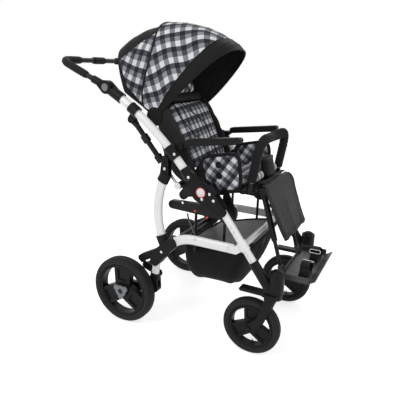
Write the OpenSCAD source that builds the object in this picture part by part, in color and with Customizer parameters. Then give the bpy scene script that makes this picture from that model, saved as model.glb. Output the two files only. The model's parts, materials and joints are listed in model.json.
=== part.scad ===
// Special needs buggy: a folding push frame that carries a tilting seat unit
// with hood, legrest, castors and braked rear wheels.
// Millimetres, +X forward, +Y left, +Z up, ground at Z 0.

/* [Wheels] */
// Outer diameter of a rear tyre
rear_wheel_d = 300; // [286:2:306]
// Width of a rear tyre
rear_tyre_w = 54; // [46:1:58]
// Distance from a side tube to the rear tyre beside it, middle to middle
wheel_out = 45; // [41:1:65]
// Outer diameter of a castor tyre
front_wheel_d = 238; // [220:2:242]
// Width of a castor tyre
front_tyre_w = 44; // [36:1:46]
// Depth of a rear tyre from tread to bead
rear_tyre_depth = 33; // [28:1:36]
// Depth of a castor tyre from tread to bead
front_tyre_depth = 29; // [25:1:32]

/* [Frame] */
// Distance from a seat tube to the side tube beside it, middle to middle
frame_out = 85; // [82:1:95]
// Fold hub ahead of the rear axle
hub_x = 353; // [348:1:358]
// Fold hub above the ground
hub_z = 645; // [641:1:650]
// Diameter of the front tubes
front_tube_d = 30; // [26:1:32]
// Slope of the front tubes from the level
front_slope = 53; // [52:0.5:54]
// Length of a front tube
front_tube_len = 308; // [302:1:312]
// Diameter of the upper tubes
upper_tube_d = 34; // [30:1:36]
// Slope of the upper tubes at the hub
upper_slope = 52; // [51:0.5:53]
// Slope of the upper tubes at the handle
top_slope = 30; // [29:0.5:31]
// Length of the upper tubes along their bend
upper_len = 476; // [468:1:482]
// Rear leg foot pivot ahead of the rear axle
rear_x = 178; // [174:1:182]
// Rear leg foot pivot above the ground
rear_z = 357; // [353:1:361]
// Backward bow of the rear legs
leg_bow = 34; // [28:1:38]
// Width of the oval rear leg and arch tubes
oval_w = 40; // [34:1:42]
// Thickness of the oval rear leg and arch tubes
oval_t = 24; // [20:1:26]

/* [Handle] */
// Handle hinge beyond the end of the upper tubes
handle_at = 42; // [40:1:48]
// Length of the handle arms
handle_len = 262; // [240:2:280]
// Rise of the handle arms from the level
handle_rise = 23; // [20:1:26]
// Diameter of the handle tube
handle_d = 22; // [18:1:24]
// Diameter of the foam grips
grip_d = 32; // [28:1:34]

/* [Seat] */
// Width between the seat side tubes, middle to middle
seat_tube_width = 320; // [312:2:324]
// Slope of the seat from the level
seat_slope = 12; // [10:0.5:13]
// Depth of the seat cushion
seat_depth = 262; // [250:1:268]
// Width of the seat cushion
seat_width = 334; // [310:2:338]
// Thickness of the seat cushion
seat_thick = 46; // [36:1:50]
// Lean of the backrest from the upright
back_lean = 25.5; // [24:0.5:27]
// Length of the backrest frame
back_len = 478; // [460:1:490]
// Height of the back cushion
back_pad_h = 330; // [310:1:332]
// Width of the back cushion
back_pad_w = 336; // [310:2:340]
// Thickness of the back cushion
back_pad_t = 46; // [38:1:52]

/* [Hood] */
// Radius of the hood behind its middle bow
hood_r = 362; // [350:2:366]
// Distance from a seat tube to the hood's side behind its middle bow
hood_out = 25; // [20:1:27]
// Power of the hood's arch: 2 is an ellipse, more is squarer
hood_power = 3; // [2.4:0.1:3.4]

/* [Legrest] */
// Length of the legrest from knee to footplate hinge
leg_len = 318; // [308:1:321]
// Lean of the legrest from the upright
leg_lean = 17.5; // [16:0.5:19]
// Length of the flat of the footplate
foot_len = 114; // [104:1:122]
// Width of the footplate
foot_width = 330; // [300:2:336]

/* [Fits] */
// Radial gap of a tube in a sleeve of the same body
fit_gap = 0.1; // [0.05:0.05:0.2]
// Radial gap of a turning or sliding fit
run_gap = 0.1; // [0.06:0.01:0.15]
// Gap between bodies that pass each other
body_gap = 0.5; // [0.4:0.1:0.8]

/* [Hidden] */
$fn = 64;
over = 2;
over_x2 = 2 * over;
lay_gap = 0.15;
side = [-1, 1];
seat_y = seat_tube_width / 2;
frame_y = seat_y + frame_out;
axle_z = rear_wheel_d / 2;
front_tube_r = front_tube_d / 2;
upper_tube_r = upper_tube_d / 2;
socket_wall = 5;
hub = [hub_x, hub_z];

hub_r = 44;
tongue_r = 38;
tongue_t = 16;
cheek_t = 9;
hub_in = tongue_t / 2 + body_gap;
hub_out = hub_in + cheek_t;
hub_pin_r = 8;
hub_cap_r = 30;
hub_cap_t = 3;

front_offset = 30;
front_dir = [cos(front_slope), -sin(front_slope)];
front_n = [sin(front_slope), cos(front_slope)];
front_sock_r = front_tube_r + socket_wall;
front_clear = tongue_r + front_sock_r + over;
front_start = sqrt(front_clear * front_clear - front_offset * front_offset);
front_base = hub + front_n * front_offset;
front_a = front_base + front_dir * front_start;
front_b = front_a + front_dir * front_tube_len;
front_sock_len = 56;

upper_offset = 18;
upper_dir = [-cos(upper_slope), sin(upper_slope)];
upper_n = [sin(upper_slope), cos(upper_slope)];
upper_sock_r = upper_tube_r + socket_wall;
upper_clear = hub_r + upper_sock_r + over;
upper_start = sqrt(upper_clear * upper_clear - upper_offset * upper_offset);
upper_a = hub - upper_n * upper_offset + upper_dir * upper_start;
upper_turn = upper_slope - top_slope;
deg_per_rad = 180 / PI;
upper_bend_r = upper_len / upper_turn * deg_per_rad;
top_dir = [-cos(top_slope), sin(top_slope)];
upper_sock_len = 48;

// point on the upper tube at a length from its hub end, and its forward normal
function upper_arc_a(s) = s / upper_bend_r * deg_per_rad;
function upper_pt(s) = upper_a + upper_dir * (upper_bend_r * sin(upper_arc_a(s)))
    - upper_n * (upper_bend_r * (1 - cos(upper_arc_a(s))));
function upper_tilt(s) = upper_slope - upper_arc_a(s);
function upper_fwd(s) = [sin(upper_tilt(s)), cos(upper_tilt(s))];
function upper_along(s) = [-cos(upper_tilt(s)), sin(upper_tilt(s))];
upper_end = upper_pt(upper_len);
upper_bow = upper_bend_r * (1 - cos(upper_turn / 2));
function unit(v) = v / norm(v);
function left_of(v) = [-v[1], v[0]];
function heading(v) = atan2(v[1], v[0]);

leg_collar_s = 125;
leg_collar_len = 56;
collar_wall = 6;
collar_r = upper_tube_r + collar_wall;
leg_off = 38;
leg_top_pivot = upper_pt(leg_collar_s) - upper_fwd(leg_collar_s) * leg_off;
strut_collar_s = 362;
strut_collar_len = 40;
strut_off = 52;
strut_top = upper_pt(strut_collar_s) - upper_fwd(strut_collar_s) * strut_off;
strut_inset = 31;
strut_y = frame_y - strut_inset;
strut_r = 11;

rear = [rear_x, rear_z];
arch_at = 262;
arch_off = 36;
arch_pivot = front_base + front_dir * arch_at - front_n * arch_off;
leg_dir = unit(rear - leg_top_pivot);
leg_drop = 62;
leg_rise = 34;
leg_a = leg_top_pivot + leg_dir * leg_drop;
leg_b = rear - leg_dir * leg_rise;
oval_wall = 5;
ear_r = 15;
ear_t = 14;
clevis_in = ear_t / 2 + body_gap;
clevis_t = 6;
clevis_out = clevis_in + clevis_t;
pivot_pin_r = 5;
leg_sleeve_len = 42;

arch_rise = 46;
arch_bend_r = 165;
arch_knee = [rear_x + (arch_pivot[1] - rear_z) / tan(arch_rise), arch_pivot[1]];
arch_a = arch_knee - [cos(arch_rise), sin(arch_rise)] * (arch_bend_r * tan(arch_rise / 2));
arch_tail = 8;
arch_b = arch_pivot - [arch_tail, 0];

bracket_t = 46;
bracket_r = 26;
stub_off = [-30, -24];
stub_top = rear + stub_off;
stub_w = 34;
stub_t = 24;
stub_len = 118;
stub_lean = 8;
stub_dir = [-sin(stub_lean), -cos(stub_lean)];
stub_low = stub_top + stub_dir * stub_len;
stub_sock = 26;
arm_drop = 46;
arm_fwd = 6;
arm_pivot = [stub_low[0] + arm_fwd, stub_low[1] - arm_drop];
arm_r = 17;
arm_t = 20;
arm_boss_r = 22;
arm_in = arm_t / 2 + body_gap;
arm_cheek_t = 6;
axle_r = 6;
wheel_y = frame_y + wheel_out;
hub_inset = 2;
rear_hub_w = rear_tyre_w - hub_inset;
wheel_hub_in = wheel_y - rear_hub_w / 2;
axle_head_r = 11;
axle_head_t = 5;
beam_off = [-22, -8];
beam_at = rear + beam_off;
beam_r = 13;
leg_play = 16;
plate_sink = 1;
bump_at = [72, 292];
bump_r = 16;
bump_h = 22;
bump_t = 30;
leg_room_len = 318;
brake_at = [66, 250];
brake_shaft_r = 8;
brake_plate_t = 8;
brake_inset = 30;
brake_plate_y = frame_y - brake_inset;
pedal_w = 110;
pedal_len = 66;
pedal_t = 12;
pedal_drop = 24;

caster_inset = 9;
caster_y = frame_y - caster_inset;
head_reach = 80;
head_x = front_b[0] + head_reach;
head_d = 60;
head_r = head_d / 2;
head_h = 84;
head_drop = 6;
head_top = front_b[1] - head_drop;
head_low = head_top - head_h;
head_sleeve = 26;
head_wall = 5;
stem_r = 12;
stem_h = 60;
dome_h = 14;
dome_r = 26;
trail = 88;
fork_gap = 5;
fork_leg_t = 9;
fork_in = front_tyre_w / 2 + fork_gap;
fork_out = fork_in + fork_leg_t;
front_axle_z = front_wheel_d / 2;
front_axle_x = head_x - trail;
crown_h = 22;
crown_top = head_low - body_gap;
crown_low = crown_top - crown_h;
crown_back = 34;
crown_front = 26;
fork_top_r = 19;
fork_low_r = 15;
fork_axle_r = 5;
fork_nut_r = 10;
fork_nut_t = 5;
lock_len = 96;
lock_w = 34;
lock_t = 15;
lock_pin_r = 4;
lock_z = crown_low + crown_h / 2;
lock_ear_r = 7;
lock_back = lock_ear_r + body_gap;
lock_x = head_x - crown_back - lock_back;

cross_r = 12;
cross_collar_len = 40;
cross_wall = 4;
cross_collar_r = front_tube_r + cross_wall;

seat_dx = 88;
seat_dz = 92;
seat_pivot = [hub_x + seat_dx, hub_z - seat_dz];
rail_r = 10;
rail_up = 84;
rail_back = 205;
rail_front = 112;
pan_t = 4;
pan_gap = rail_r + pan_t;
tilt_t = 9;
tilt_clear = 4;
tilt_y = seat_y + rail_r + tilt_t / 2 + tilt_clear;
tilt_in = tilt_y - tilt_t / 2;
tilt_out = tilt_y + tilt_t / 2;
carrier_t = 22;
carrier_in = tilt_out + body_gap;
carrier_out = carrier_in + carrier_t;
carrier_y = carrier_in + carrier_t / 2;
carrier_h = 56;
carrier_back = 248;
carrier_tail = 10;
disc_r = 40;
boss_r = 22;
recline_at = [-162, 116];
strut_pin_at = [-193, 130];
strut_pin_r = 6;
strut_eye_r = 15;
strut_eye_t = 14;
recline_pin_r = 7;
recline_eye_r = 17;
seat_pad_up = rail_up + pan_gap;
seat_pad_mid = -4;
panel_t = 11;
panel_l = 142;
panel_h = 140;
panel_inset = 1;
panel_y = tilt_out - panel_t / 2 - panel_inset;
panel_mid_x = 0;
panel_at = [panel_mid_x, rail_up + rail_r + panel_h / 2];

bumper_at = [92, 74];
bumper_lean = 21;
bumper_out = 4;
bumper_y = seat_y + bumper_out;
bumper_h = 206;
bumper_bend = 62;
bumper_d = 18;
bumper_pad_d = 34;
bumper_sock_r = 14;
bumper_sock_h = 40;
bumper_pad_up = 46;

back_inset = 4;
back_y = seat_y - back_inset;
back_tube_r = 10;
back_pivot = seat_pivot + [recline_at[0] * cos(seat_slope) - recline_at[1] * sin(seat_slope),
    recline_at[0] * sin(seat_slope) + recline_at[1] * cos(seat_slope)];
back_eye_t = 8;
back_bend = 50;
back_pad_low = 52;
back_pad_clear = 1;
back_pad_fwd = back_tube_r + back_pad_clear;
head_pad_w = 214;
head_pad_h = 96;
head_pad_t = 44;
head_pad_up = back_pad_low + back_pad_h + head_pad_h / 2 + over_x2;

hood_at = [-24, 316];
hood_pivot = back_pivot + [hood_at[0] * cos(back_lean) - hood_at[1] * sin(back_lean),
    hood_at[0] * sin(back_lean) + hood_at[1] * cos(back_lean)];
hood_t = 4;
hood_w = seat_y + hood_out;
hood_step = 2.4;
hood_base = 40;
hood_rear_a = 98;
hood_rear_span = 54;
hood_back = 116;
hood_back_lean = 22;
hood_steps = 40;
hood_front_a = 56;
hood_front_span = 45;
hood_visor_a = 38;
hood_visor_span = hood_front_a - hood_visor_a;
hood_disc_r = 34;
hood_front_r = hood_r + hood_t + hood_step;
hood_front_w = hood_w + hood_t + hood_step;

knee_at = [132, 66];
knee = seat_pivot + [knee_at[0] * cos(seat_slope) - knee_at[1] * sin(seat_slope),
    knee_at[0] * sin(seat_slope) + knee_at[1] * cos(seat_slope)];
leg_y = 118;
leg_tube_r = 12;
slide_r = 8;
leg_tube_len = 206;
leg_tube_top = 16;
slide_top = 112;
knee_boss_r = 15;
knee_pin_r = 7;
leg_bar_r = 7;
calf_w = 300;
calf_l = 214;
calf_t = 26;
calf_lean = 13;
calf_at = [52, -92];
foot_hinge = knee + [sin(leg_lean), -cos(leg_lean)] * leg_len;
foot_eye_r = 11;
foot_eye_t = 12;
foot_pin_r = 5;
foot_drop = 22;
foot_t = 4;
foot_back = 10;
foot_flange = 24;
lip_len = 30;
lip_rise = 32;
foot_z = foot_hinge[1] - foot_drop;
foot_x0 = foot_hinge[0] + foot_back;
foot_x1 = foot_x0 + foot_len;
hole_r = 3.2;
hole_x_pitch = 18;
hole_y_pitch = 26;
hole_from = 14;
hole_x0 = foot_x0 + hole_from;
hole_y = 106;
strap_r = 46;
strap_w = 36;
strap_t = 3;
strap_from = 84;
strap_x = foot_x0 + strap_from;
strap_y = 86;

arm_off = 32;
arm_at = upper_pt(leg_collar_s) + upper_fwd(leg_collar_s) * arm_off;
arm_slope = 7;
arm_len = 258;
arm_w = 26;
arm_y = hood_w + 2 * hood_t + hood_step + over_x2 + arm_w / 2;
arm_pad_t = 24;
arm_plate_t = 6;
arm_eye_r = 15;
arm_pin_r = 5;
arm_pad_from = 26;
arm_pad_up = 6;
arm_lug_t = 9;
arm_lug_in = arm_y + arm_w / 2 + body_gap;

handle_hinge = upper_end + top_dir * handle_at;
handle_dir = [-cos(handle_rise), sin(handle_rise)];
handle_r = handle_d / 2;
handle_bend = 46;
knuckle_r = 27;
knuckle_t = 14;
knuckle_clear = 5;
handle_from = knuckle_r + knuckle_clear;
handle_sock_len = 44;
handle_sock_wall = 5;
button_r = 15;
button_t = 10;
button_out = 4;
button_travel = 5;
grip_end = 150;
grip_mid = 120;

basket_inset = -3;
basket_y = carrier_in - basket_inset;
basket_t = 4;
basket_rod_r = 6;
basket_rod_y = basket_y + basket_rod_r + lay_gap;

slider_l = 44;
slider_w = 34;
slider_h = 13;
slider_rib = 3;
slider_ribs = 5;

screw_r = 5;
screw_t = 3;
spot = 1.5;

foot_tip = foot_x1 + lip_len * cos(lip_rise) + foot_t * sin(lip_rise);
grip_back = handle_hinge[0] + handle_dir[0] * handle_len - grip_d / 2;
mid_x = (foot_tip + grip_back) / 2;

// shared frame: the rear axle stands at X 0 in the drawing, the row's origin is mid length
module placed() { translate([-mid_x, 0, 0]) children(); }
// draws a side view outline (X, Z) standing at a lateral place
module flat(y, t) {
    translate([0, y, 0]) rotate([90, 0, 0]) linear_extrude(height = t, center = true) children();
}
module upright(y) { translate([0, y, 0]) rotate([90, 0, 0]) children(); }
module lateral(p, y0, y1, r) {
    translate([p[0], min(y0, y1), p[1]]) rotate([-90, 0, 0]) cylinder(h = abs(y1 - y0), r = r);
}
// straight bar with round ends in the side view; its flanks cut the end circles a little inside their tangents
join = 0.995;
module bar2(p, q, w) { taper2(p, q, w / 2, w / 2); }
// tapered bar with round ends in the side view
module taper2(p, q, rp, rq) {
    d = norm(q - p);
    a = asin((rp - rq) / d);
    t = [sin(a), cos(a)] * join;
    translate(p) circle(r = rp);
    translate(q) circle(r = rq);
    translate(p) rotate(heading(q - p)) polygon([[rp * t[0], -rp * t[1]], [d + rq * t[0], -rq * t[1]],
        [d + rq * t[0], rq * t[1]], [rp * t[0], rp * t[1]]]);
}
module stadium(w, t) {
    square([w - t, t], center = true);
    for (s = side) translate([s * (w - t) / 2, 0]) circle(d = t);
}
module round_rect(a, b, r) {
    square([a - 2 * r, b], center = true);
    square([a, b - 2 * r], center = true);
    for (i = side, j = side) translate([i * (a / 2 - r), j * (b / 2 - r)]) circle(r = r);
}
// straight length of a profile in the drawing plane
module run(p, q) {
    translate([p[0], p[1], 0]) rotate([0, 0, heading(q - p)]) rotate([90, 0, 90])
        linear_extrude(height = norm(q - p)) children();
}
// one bend between straight lengths, children give the profile
module path3(p, k, q, bend) {
    d1 = unit(k - p);
    d2 = unit(q - k);
    turn = heading([d1 * d2, d1[0] * d2[1] - d1[1] * d2[0]]);
    sgn = sign(turn);
    t = bend * tan(abs(turn) / 2);
    a = k - d1 * t;
    b = k + d2 * t;
    c = a + left_of(d1) * (sgn * bend);
    if (norm(a - p) > fit_gap) run(p, a) children();
    if (norm(q - b) > fit_gap) run(b, q) children();
    translate([c[0], c[1], 0]) rotate([0, 0, heading(a - c) + (turn < 0 ? turn : 0)])
        rotate_extrude(angle = abs(turn)) translate([bend, 0]) children();
}
// one arc between two points with a given bow to the left of the way
module bow2(p, q, bow) {
    h = norm(q - p) / 2;
    r = (h * h + bow * bow) / (2 * bow);
    m = (p + q) / 2;
    c = m - left_of(unit(q - p)) * (r - bow);
    span = 2 * asin(h / r);
    translate([c[0], c[1], 0]) rotate([0, 0, heading(q - c)])
        rotate_extrude(angle = span) translate([r, 0]) children();
}
// pillow: a closed grid with a crown, sides drawn in and sewn channels across its length
function crown(u, v, p) = sqrt(max(0, (1 - pow(abs(u), p)) * (1 - pow(abs(v), p))));
top_power = 4;
low_power = 6;
channel_share = 0.07;
function dips(v, at, w, i = 0) = i >= len(at) ? 0
    : exp(-pow((v - at[i]) / w, 2)) + dips(v, at, w, i + 1);
module pillow(w, l, up, down, nu, nv, draw, round_top, chan_u, chan_v, depth) {
    row = nu + 1;
    count = row * (nv + 1);
    function uu(i) = -cos(180 * i / nu);
    function vv(j) = -cos(180 * j / nv);
    function px(u, v) = w / 2 * u * (1 - draw * (1 - v * v)) * (1 - round_top * max(0, v) * v * v);
    function py(u, v) = l / 2 * v * (1 - draw * (1 - u * u)) * (1 - (v > 0 ? round_top / 2 * u * u : 0));
    function dip(u, v) = 1 - depth * min(1, dips(u, chan_u, channel_share) + dips(v, chan_v, channel_share));
    function lift(i, j) = up * crown(uu(i), vv(j), top_power) * dip(uu(i), vv(j));
    function top(i, j) = [px(uu(i), vv(j)), py(uu(i), vv(j)), lift(i, j)];
    function low(i, j) = [px(uu(i), vv(j)), py(uu(i), vv(j)), -down * crown(uu(i), vv(j), low_power)];
    pts = concat([for (j = [0:nv], i = [0:nu]) top(i, j)],
        [for (j = [1:nv - 1], i = [1:nu - 1]) low(i, j)]);
    function lo(i, j) = (i == 0 || j == 0 || i == nu || j == nv) ? j * row + i
        : count + (j - 1) * (nu - 1) + i - 1;
    function turned(i, j) = (i == nu - 1 && j == 0) || (i == 0 && j == nv - 1);
    function up_at(i, j) = j * row + i;
    faces = concat(
        [for (j = [0:nv - 1], i = [0:nu - 1]) turned(i, j)
            ? [up_at(i, j), up_at(i, j + 1), up_at(i + 1, j)]
            : [up_at(i, j), up_at(i, j + 1), up_at(i + 1, j + 1)]],
        [for (j = [0:nv - 1], i = [0:nu - 1]) turned(i, j)
            ? [up_at(i + 1, j), up_at(i, j + 1), up_at(i + 1, j + 1)]
            : [up_at(i, j), up_at(i + 1, j + 1), up_at(i + 1, j)]],
        [for (j = [0:nv - 1], i = [0:nu - 1]) turned(i, j)
            ? [lo(i, j), lo(i + 1, j), lo(i, j + 1)]
            : [lo(i, j), lo(i + 1, j + 1), lo(i, j + 1)]],
        [for (j = [0:nv - 1], i = [0:nu - 1]) turned(i, j)
            ? [lo(i + 1, j), lo(i + 1, j + 1), lo(i, j + 1)]
            : [lo(i, j), lo(i + 1, j), lo(i + 1, j + 1)]]);
    polyhedron(pts, faces);
}

// chassis
module front_tubes() {
    color("white") for (s = side) difference() {
        upright(s * frame_y) run(front_a, front_b) circle(r = front_tube_r);
        for (p = screw_places())
            lateral(p, s * (frame_y + front_tube_r - spot), s * (frame_y + front_tube_r + over),
                screw_r + fit_gap);
    }
}
screw_shares = [0.40, 0.47, 0.80, 0.87];
function screw_places() = [for (k = screw_shares) front_a + (front_b - front_a) * k];
module frame_screws() {
    color("silver") for (s = side, p = screw_places())
        lateral(p, s * (frame_y + front_tube_r - spot), s * (frame_y + front_tube_r + screw_t), screw_r);
}
module front_cross_member() {
    ca = front_base + front_dir * (arch_at - cross_collar_len / 2);
    cb = front_base + front_dir * (arch_at + cross_collar_len / 2);
    cx = front_base + front_dir * arch_at;
    color("white") {
        for (s = side) difference() {
            union() {
                upright(s * frame_y) run(ca, cb) circle(r = cross_collar_r);
                for (k = side) flat(s * frame_y + k * (clevis_in + clevis_t / 2), clevis_t)
                    bar2(arch_pivot, cx, 2 * ear_r);
                if (s > 0) lateral(cx, -frame_y, frame_y, cross_r);
            }
            for (y = s > 0 ? [frame_y, -frame_y] : [-frame_y]) upright(y)
                run(ca - front_dir * over, cb + front_dir * over) circle(r = front_tube_r + fit_gap);
            flat(s * frame_y, 2 * clevis_in) difference() {
                bar2(arch_pivot, cx, 2 * ear_r + over_x2);
                translate(cx) rotate(heading(front_dir))
                    square([2 * cross_collar_len, 2 * cross_collar_r], center = true);
            }
        }
        for (s = side) lateral(arch_pivot, s * frame_y - clevis_out, s * frame_y + clevis_out, pivot_pin_r);
    }
}
sock_lip = 1;
module hub_cheeks() {
    sa = front_a;
    sb = front_a + front_dir * front_sock_len;
    color("dimgray") for (s = side) {
        difference() {
            union() {
                for (k = side) flat(s * frame_y + k * (hub_in + cheek_t / 2), cheek_t) {
                    taper2(hub, sb, hub_r, front_sock_r);
                }
                upright(s * frame_y) run(sa, sb) circle(r = front_sock_r);
                flat(s * frame_y, 2 * hub_in + over) translate(sa) rotate(heading(front_dir))
                    translate([0, -front_sock_r - sock_lip])
                        square([front_sock_len - over, 2 * (front_sock_r + sock_lip)]);
            }
            upright(s * frame_y) run(sa - front_dir * over, sb + front_dir * (front_sock_r + over))
                circle(r = front_tube_r + fit_gap);
            lateral(hub, s * frame_y - hub_out - over, s * frame_y + hub_out + over, hub_pin_r + fit_gap);
        }
        lateral(hub, s * frame_y - s * hub_out, s * frame_y + s * hub_out, hub_pin_r);
        lateral(hub, s * (frame_y + hub_out), s * (frame_y + hub_out + hub_cap_t), hub_cap_r);
    }
}
module caster_head(s) {
    y = s * caster_y;
    ta = front_b - front_dir * head_sleeve;
    tb = front_b + front_dir * (head_reach + head_r);
    difference() {
        union() {
            translate([head_x, y, head_low]) cylinder(h = head_h, r = head_r);
            upright(s * frame_y) run(ta, tb) circle(r = front_tube_r + head_wall);
        }
        translate([front_b[0] - head_reach, y - head_reach, head_low - 2 * head_reach])
            cube([4 * head_reach, 2 * head_reach, 2 * head_reach]);
        upright(s * frame_y) run(ta - front_dir * over, front_b) circle(r = front_tube_r + fit_gap);
        translate([head_x, y, head_low - over]) cylinder(h = stem_h + over_x2, r = stem_r + run_gap);
    }
    translate([head_x, y, head_top]) intersection() {
        translate([0, 0, dome_h - dome_big]) sphere(r = dome_big);
        cylinder(h = dome_h, r = dome_r);
    }
}
dome_big = (dome_r * dome_r + dome_h * dome_h) / (2 * dome_h);
module caster_heads() { color("dimgray") for (s = side) caster_head(s); }
carrier_x0 = seat_pivot[0] - carrier_back;
basket_pts = [[214, 352], [222, 236], [244, 212], [482, 204], [552, 432], [430, 420], [300, 384]];
basket_c = [360, 330];
basket_in = 0.975;
basket_open = 60;
hang_grip = 24;
module seat_carriers() {
    p0 = [carrier_x0, seat_pivot[1]];
    color("dimgray") {
        for (s = side) {
            difference() {
                flat(s * carrier_y, carrier_t) {
                    taper2(p0, seat_pivot, carrier_h / 2 - carrier_tail, carrier_h / 2);
                    translate(seat_pivot) circle(r = disc_r);
                    taper2(hub, [hub_x, seat_pivot[1]], boss_r, carrier_h / 2);
                }
                lateral(seat_pivot, s * (carrier_in - over), s * (carrier_out + over), hub_pin_r + run_gap);
            }
            lateral(hub, s * carrier_out, s * (frame_y - hub_out), boss_r);
            for (p = [basket_pts[5], basket_pts[6]]) upright(s * basket_rod_y)
                run([p[0], seat_pivot[1] - carrier_h / 2 + over], p - [0, hang_grip])
                    circle(r = basket_rod_r);
        }
    }
}
module basket() {
    color("black") difference() {
        flat(0, 2 * basket_y) polygon(basket_pts);
        flat(0, 2 * (basket_y - basket_t)) translate([0, basket_t]) polygon([for (p = basket_pts)
            basket_c + (p - basket_c) * (p[1] > basket_c[1] ? 1 : basket_in)]);
        flat(0, 2 * (basket_y - basket_t)) polygon([basket_pts[0] + [basket_t, -over],
            basket_pts[4] - [basket_t, over], basket_pts[4] + [0, basket_open],
            basket_pts[0] + [basket_t, basket_open]]);
    }
}
sock_end = front_a + front_dir * front_sock_len;
hub_way = unit(sock_end - hub);
flank_a = asin((hub_r - front_sock_r) / norm(sock_end - hub));
flank_n = (hub_way * sin(flank_a) + left_of(hub_way) * cos(flank_a)) * join;
edge_a = hub + flank_n * hub_r;
edge_b = sock_end + flank_n * front_sock_r;
edge_dir = unit(edge_b - edge_a);
slider_share = 0.46;
slider_slot = 24;
module fold_sliders() {
    c = edge_a + edge_dir * (slider_l * slider_share) + left_of(edge_dir) * (slider_h / 2 + body_gap);
    color("dimgray") for (s = side) translate([c[0], s * frame_y, c[1]])
        rotate([0, -heading(edge_dir), 0]) difference() {
            cube([slider_l, slider_w, slider_h], center = true);
            translate([-slider_l / 2, 0, 0])
                cube([2 * slider_slot, tongue_t + 4 * body_gap, 2 * slider_h], center = true);
            for (k = [1:slider_ribs])
                translate([slider_l * k / (slider_ribs + 1) - slider_l / 2, 0, slider_h / 2])
                    cube([slider_rib, slider_w + over_x2, slider_rib], center = true);
        }
}

// upper frame
module upper_path(r) { bow2(upper_end, upper_a, upper_bow) circle(r = r); }
module upper_tubes() { color("white") for (s = side) upright(s * frame_y) upper_path(upper_tube_r); }
module hub_tongues() {
    ub = upper_a + upper_dir * upper_sock_len;
    color("dimgray") for (s = side) difference() {
        union() {
            flat(s * frame_y, tongue_t)
                taper2(hub, upper_a + upper_dir * (upper_sock_len / 2), tongue_r, upper_sock_r - plate_sink);
            upright(s * frame_y) run(upper_a, ub) circle(r = upper_sock_r);
        }
        upright(s * frame_y) upper_path(upper_tube_r + fit_gap);
        lateral(hub, s * frame_y - hub_in - over, s * frame_y + hub_in + over, hub_pin_r + run_gap);
    }
}
module collar_block(s, c, len, r) {
    a = upper_pt(c) - upper_along(c) * (len / 2);
    b = upper_pt(c) + upper_along(c) * (len / 2);
    upright(s * frame_y) run(a, b) circle(r = r);
}
module tube_collars() {
    lug_y = arm_lug_in + arm_lug_t / 2;
    color("dimgray") for (s = side) {
        difference() {
            union() {
                collar_block(s, leg_collar_s, leg_collar_len, collar_r);
                flat(s * frame_y, ear_t) bar2(leg_top_pivot, upper_pt(leg_collar_s), 2 * ear_r);
                flat(s * lug_y, arm_lug_t) bar2(arm_at, upper_pt(leg_collar_s), 2 * arm_eye_r);
            }
            upright(s * frame_y) upper_path(upper_tube_r + fit_gap);
            lateral(leg_top_pivot, s * frame_y - ear_t, s * frame_y + ear_t, pivot_pin_r + run_gap);
        }
        lateral(arm_at, s * (arm_lug_in), s * (arm_lug_in - arm_w), arm_pin_r);
        difference() {
            union() {
                collar_block(s, strut_collar_s, strut_collar_len, collar_r);
                flat(s * (strut_y + strut_eye_t / 2 + body_gap + arm_lug_t / 2), arm_lug_t)
                    bar2(strut_top, upper_pt(strut_collar_s), 2 * ear_r);
            }
            upright(s * frame_y) upper_path(upper_tube_r + fit_gap);
        }
        lateral(strut_top, s * (strut_y + strut_eye_t / 2 + body_gap), s * (strut_y - strut_eye_t / 2),
            pivot_pin_r);
    }
}
module handle_sockets() {
    sa = handle_hinge - top_dir * handle_from;
    sb = upper_end - top_dir * handle_sock_len;
    y = frame_y - knuckle_t / 2 - body_gap / 2;
    color("dimgray") for (s = side) {
        difference() {
            union() {
                flat(s * y, knuckle_t) taper2(handle_hinge, sa, knuckle_r, upper_sock_r - plate_sink);
                upright(s * frame_y) run(sb, sa) circle(r = upper_sock_r);
            }
            upright(s * frame_y) upper_path(upper_tube_r + fit_gap);
        }
        lateral(handle_hinge, s * (y + knuckle_t / 2),
            s * (frame_y + knuckle_t + body_gap / 2 - button_t - body_gap), hub_pin_r);
    }
}

// handle
module handle_plane() {
    translate([handle_hinge[0], 0, handle_hinge[1]]) rotate([0, handle_rise, 0]) rotate([0, 0, 90])
        children();
}
module handle_half(r, from, to) {
    path3([frame_y, from], [frame_y, handle_len], [to, handle_len], handle_bend) circle(r = r);
}
module handle_bar() {
    color("dimgray") handle_plane() for (s = side) mirror([s > 0 ? 0 : 1, 0, 0])
        handle_half(handle_r, handle_from, 0);
}
module handle_grips() {
    color("black") handle_plane() for (s = side) mirror([s > 0 ? 0 : 1, 0, 0]) difference() {
        handle_half(grip_d / 2, handle_len - grip_end, frame_y - grip_mid);
        handle_half(handle_r + fit_gap, handle_from, 0);
    }
    color("black") handle_plane() difference() {
        run([-grip_mid / 3, handle_len], [grip_mid / 3, handle_len]) circle(d = grip_d);
        run([-grip_mid, handle_len], [grip_mid, handle_len]) circle(r = handle_r + fit_gap);
    }
}
module handle_knuckles() {
    y = frame_y + knuckle_t / 2 + body_gap / 2;
    sa = handle_hinge + handle_dir * handle_from;
    sb = sa + handle_dir * handle_sock_len;
    color("dimgray") for (s = side) difference() {
        union() {
            flat(s * y, knuckle_t) taper2(handle_hinge, sa, knuckle_r, handle_r + handle_sock_wall - plate_sink);
            upright(s * frame_y) run(sa, sb) circle(r = handle_r + handle_sock_wall);
        }
        upright(s * frame_y) run(sa, sb + handle_dir * over) circle(r = handle_r + fit_gap);
        lateral(handle_hinge, s * (y - knuckle_t), s * (y + knuckle_t), hub_pin_r + run_gap);
        lateral(handle_hinge, s * (y + knuckle_t / 2 - button_t), s * (y + knuckle_t), button_r + run_gap);
    }
}
module handle_button(s) {
    y = frame_y + knuckle_t + body_gap / 2;
    color("gray") lateral(handle_hinge, s * (y + button_out),
        s * (y + button_out - button_t + button_travel - body_gap), button_r);
}
module handle_button_left() { handle_button(1); }
module handle_button_right() { handle_button(-1); }

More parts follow.
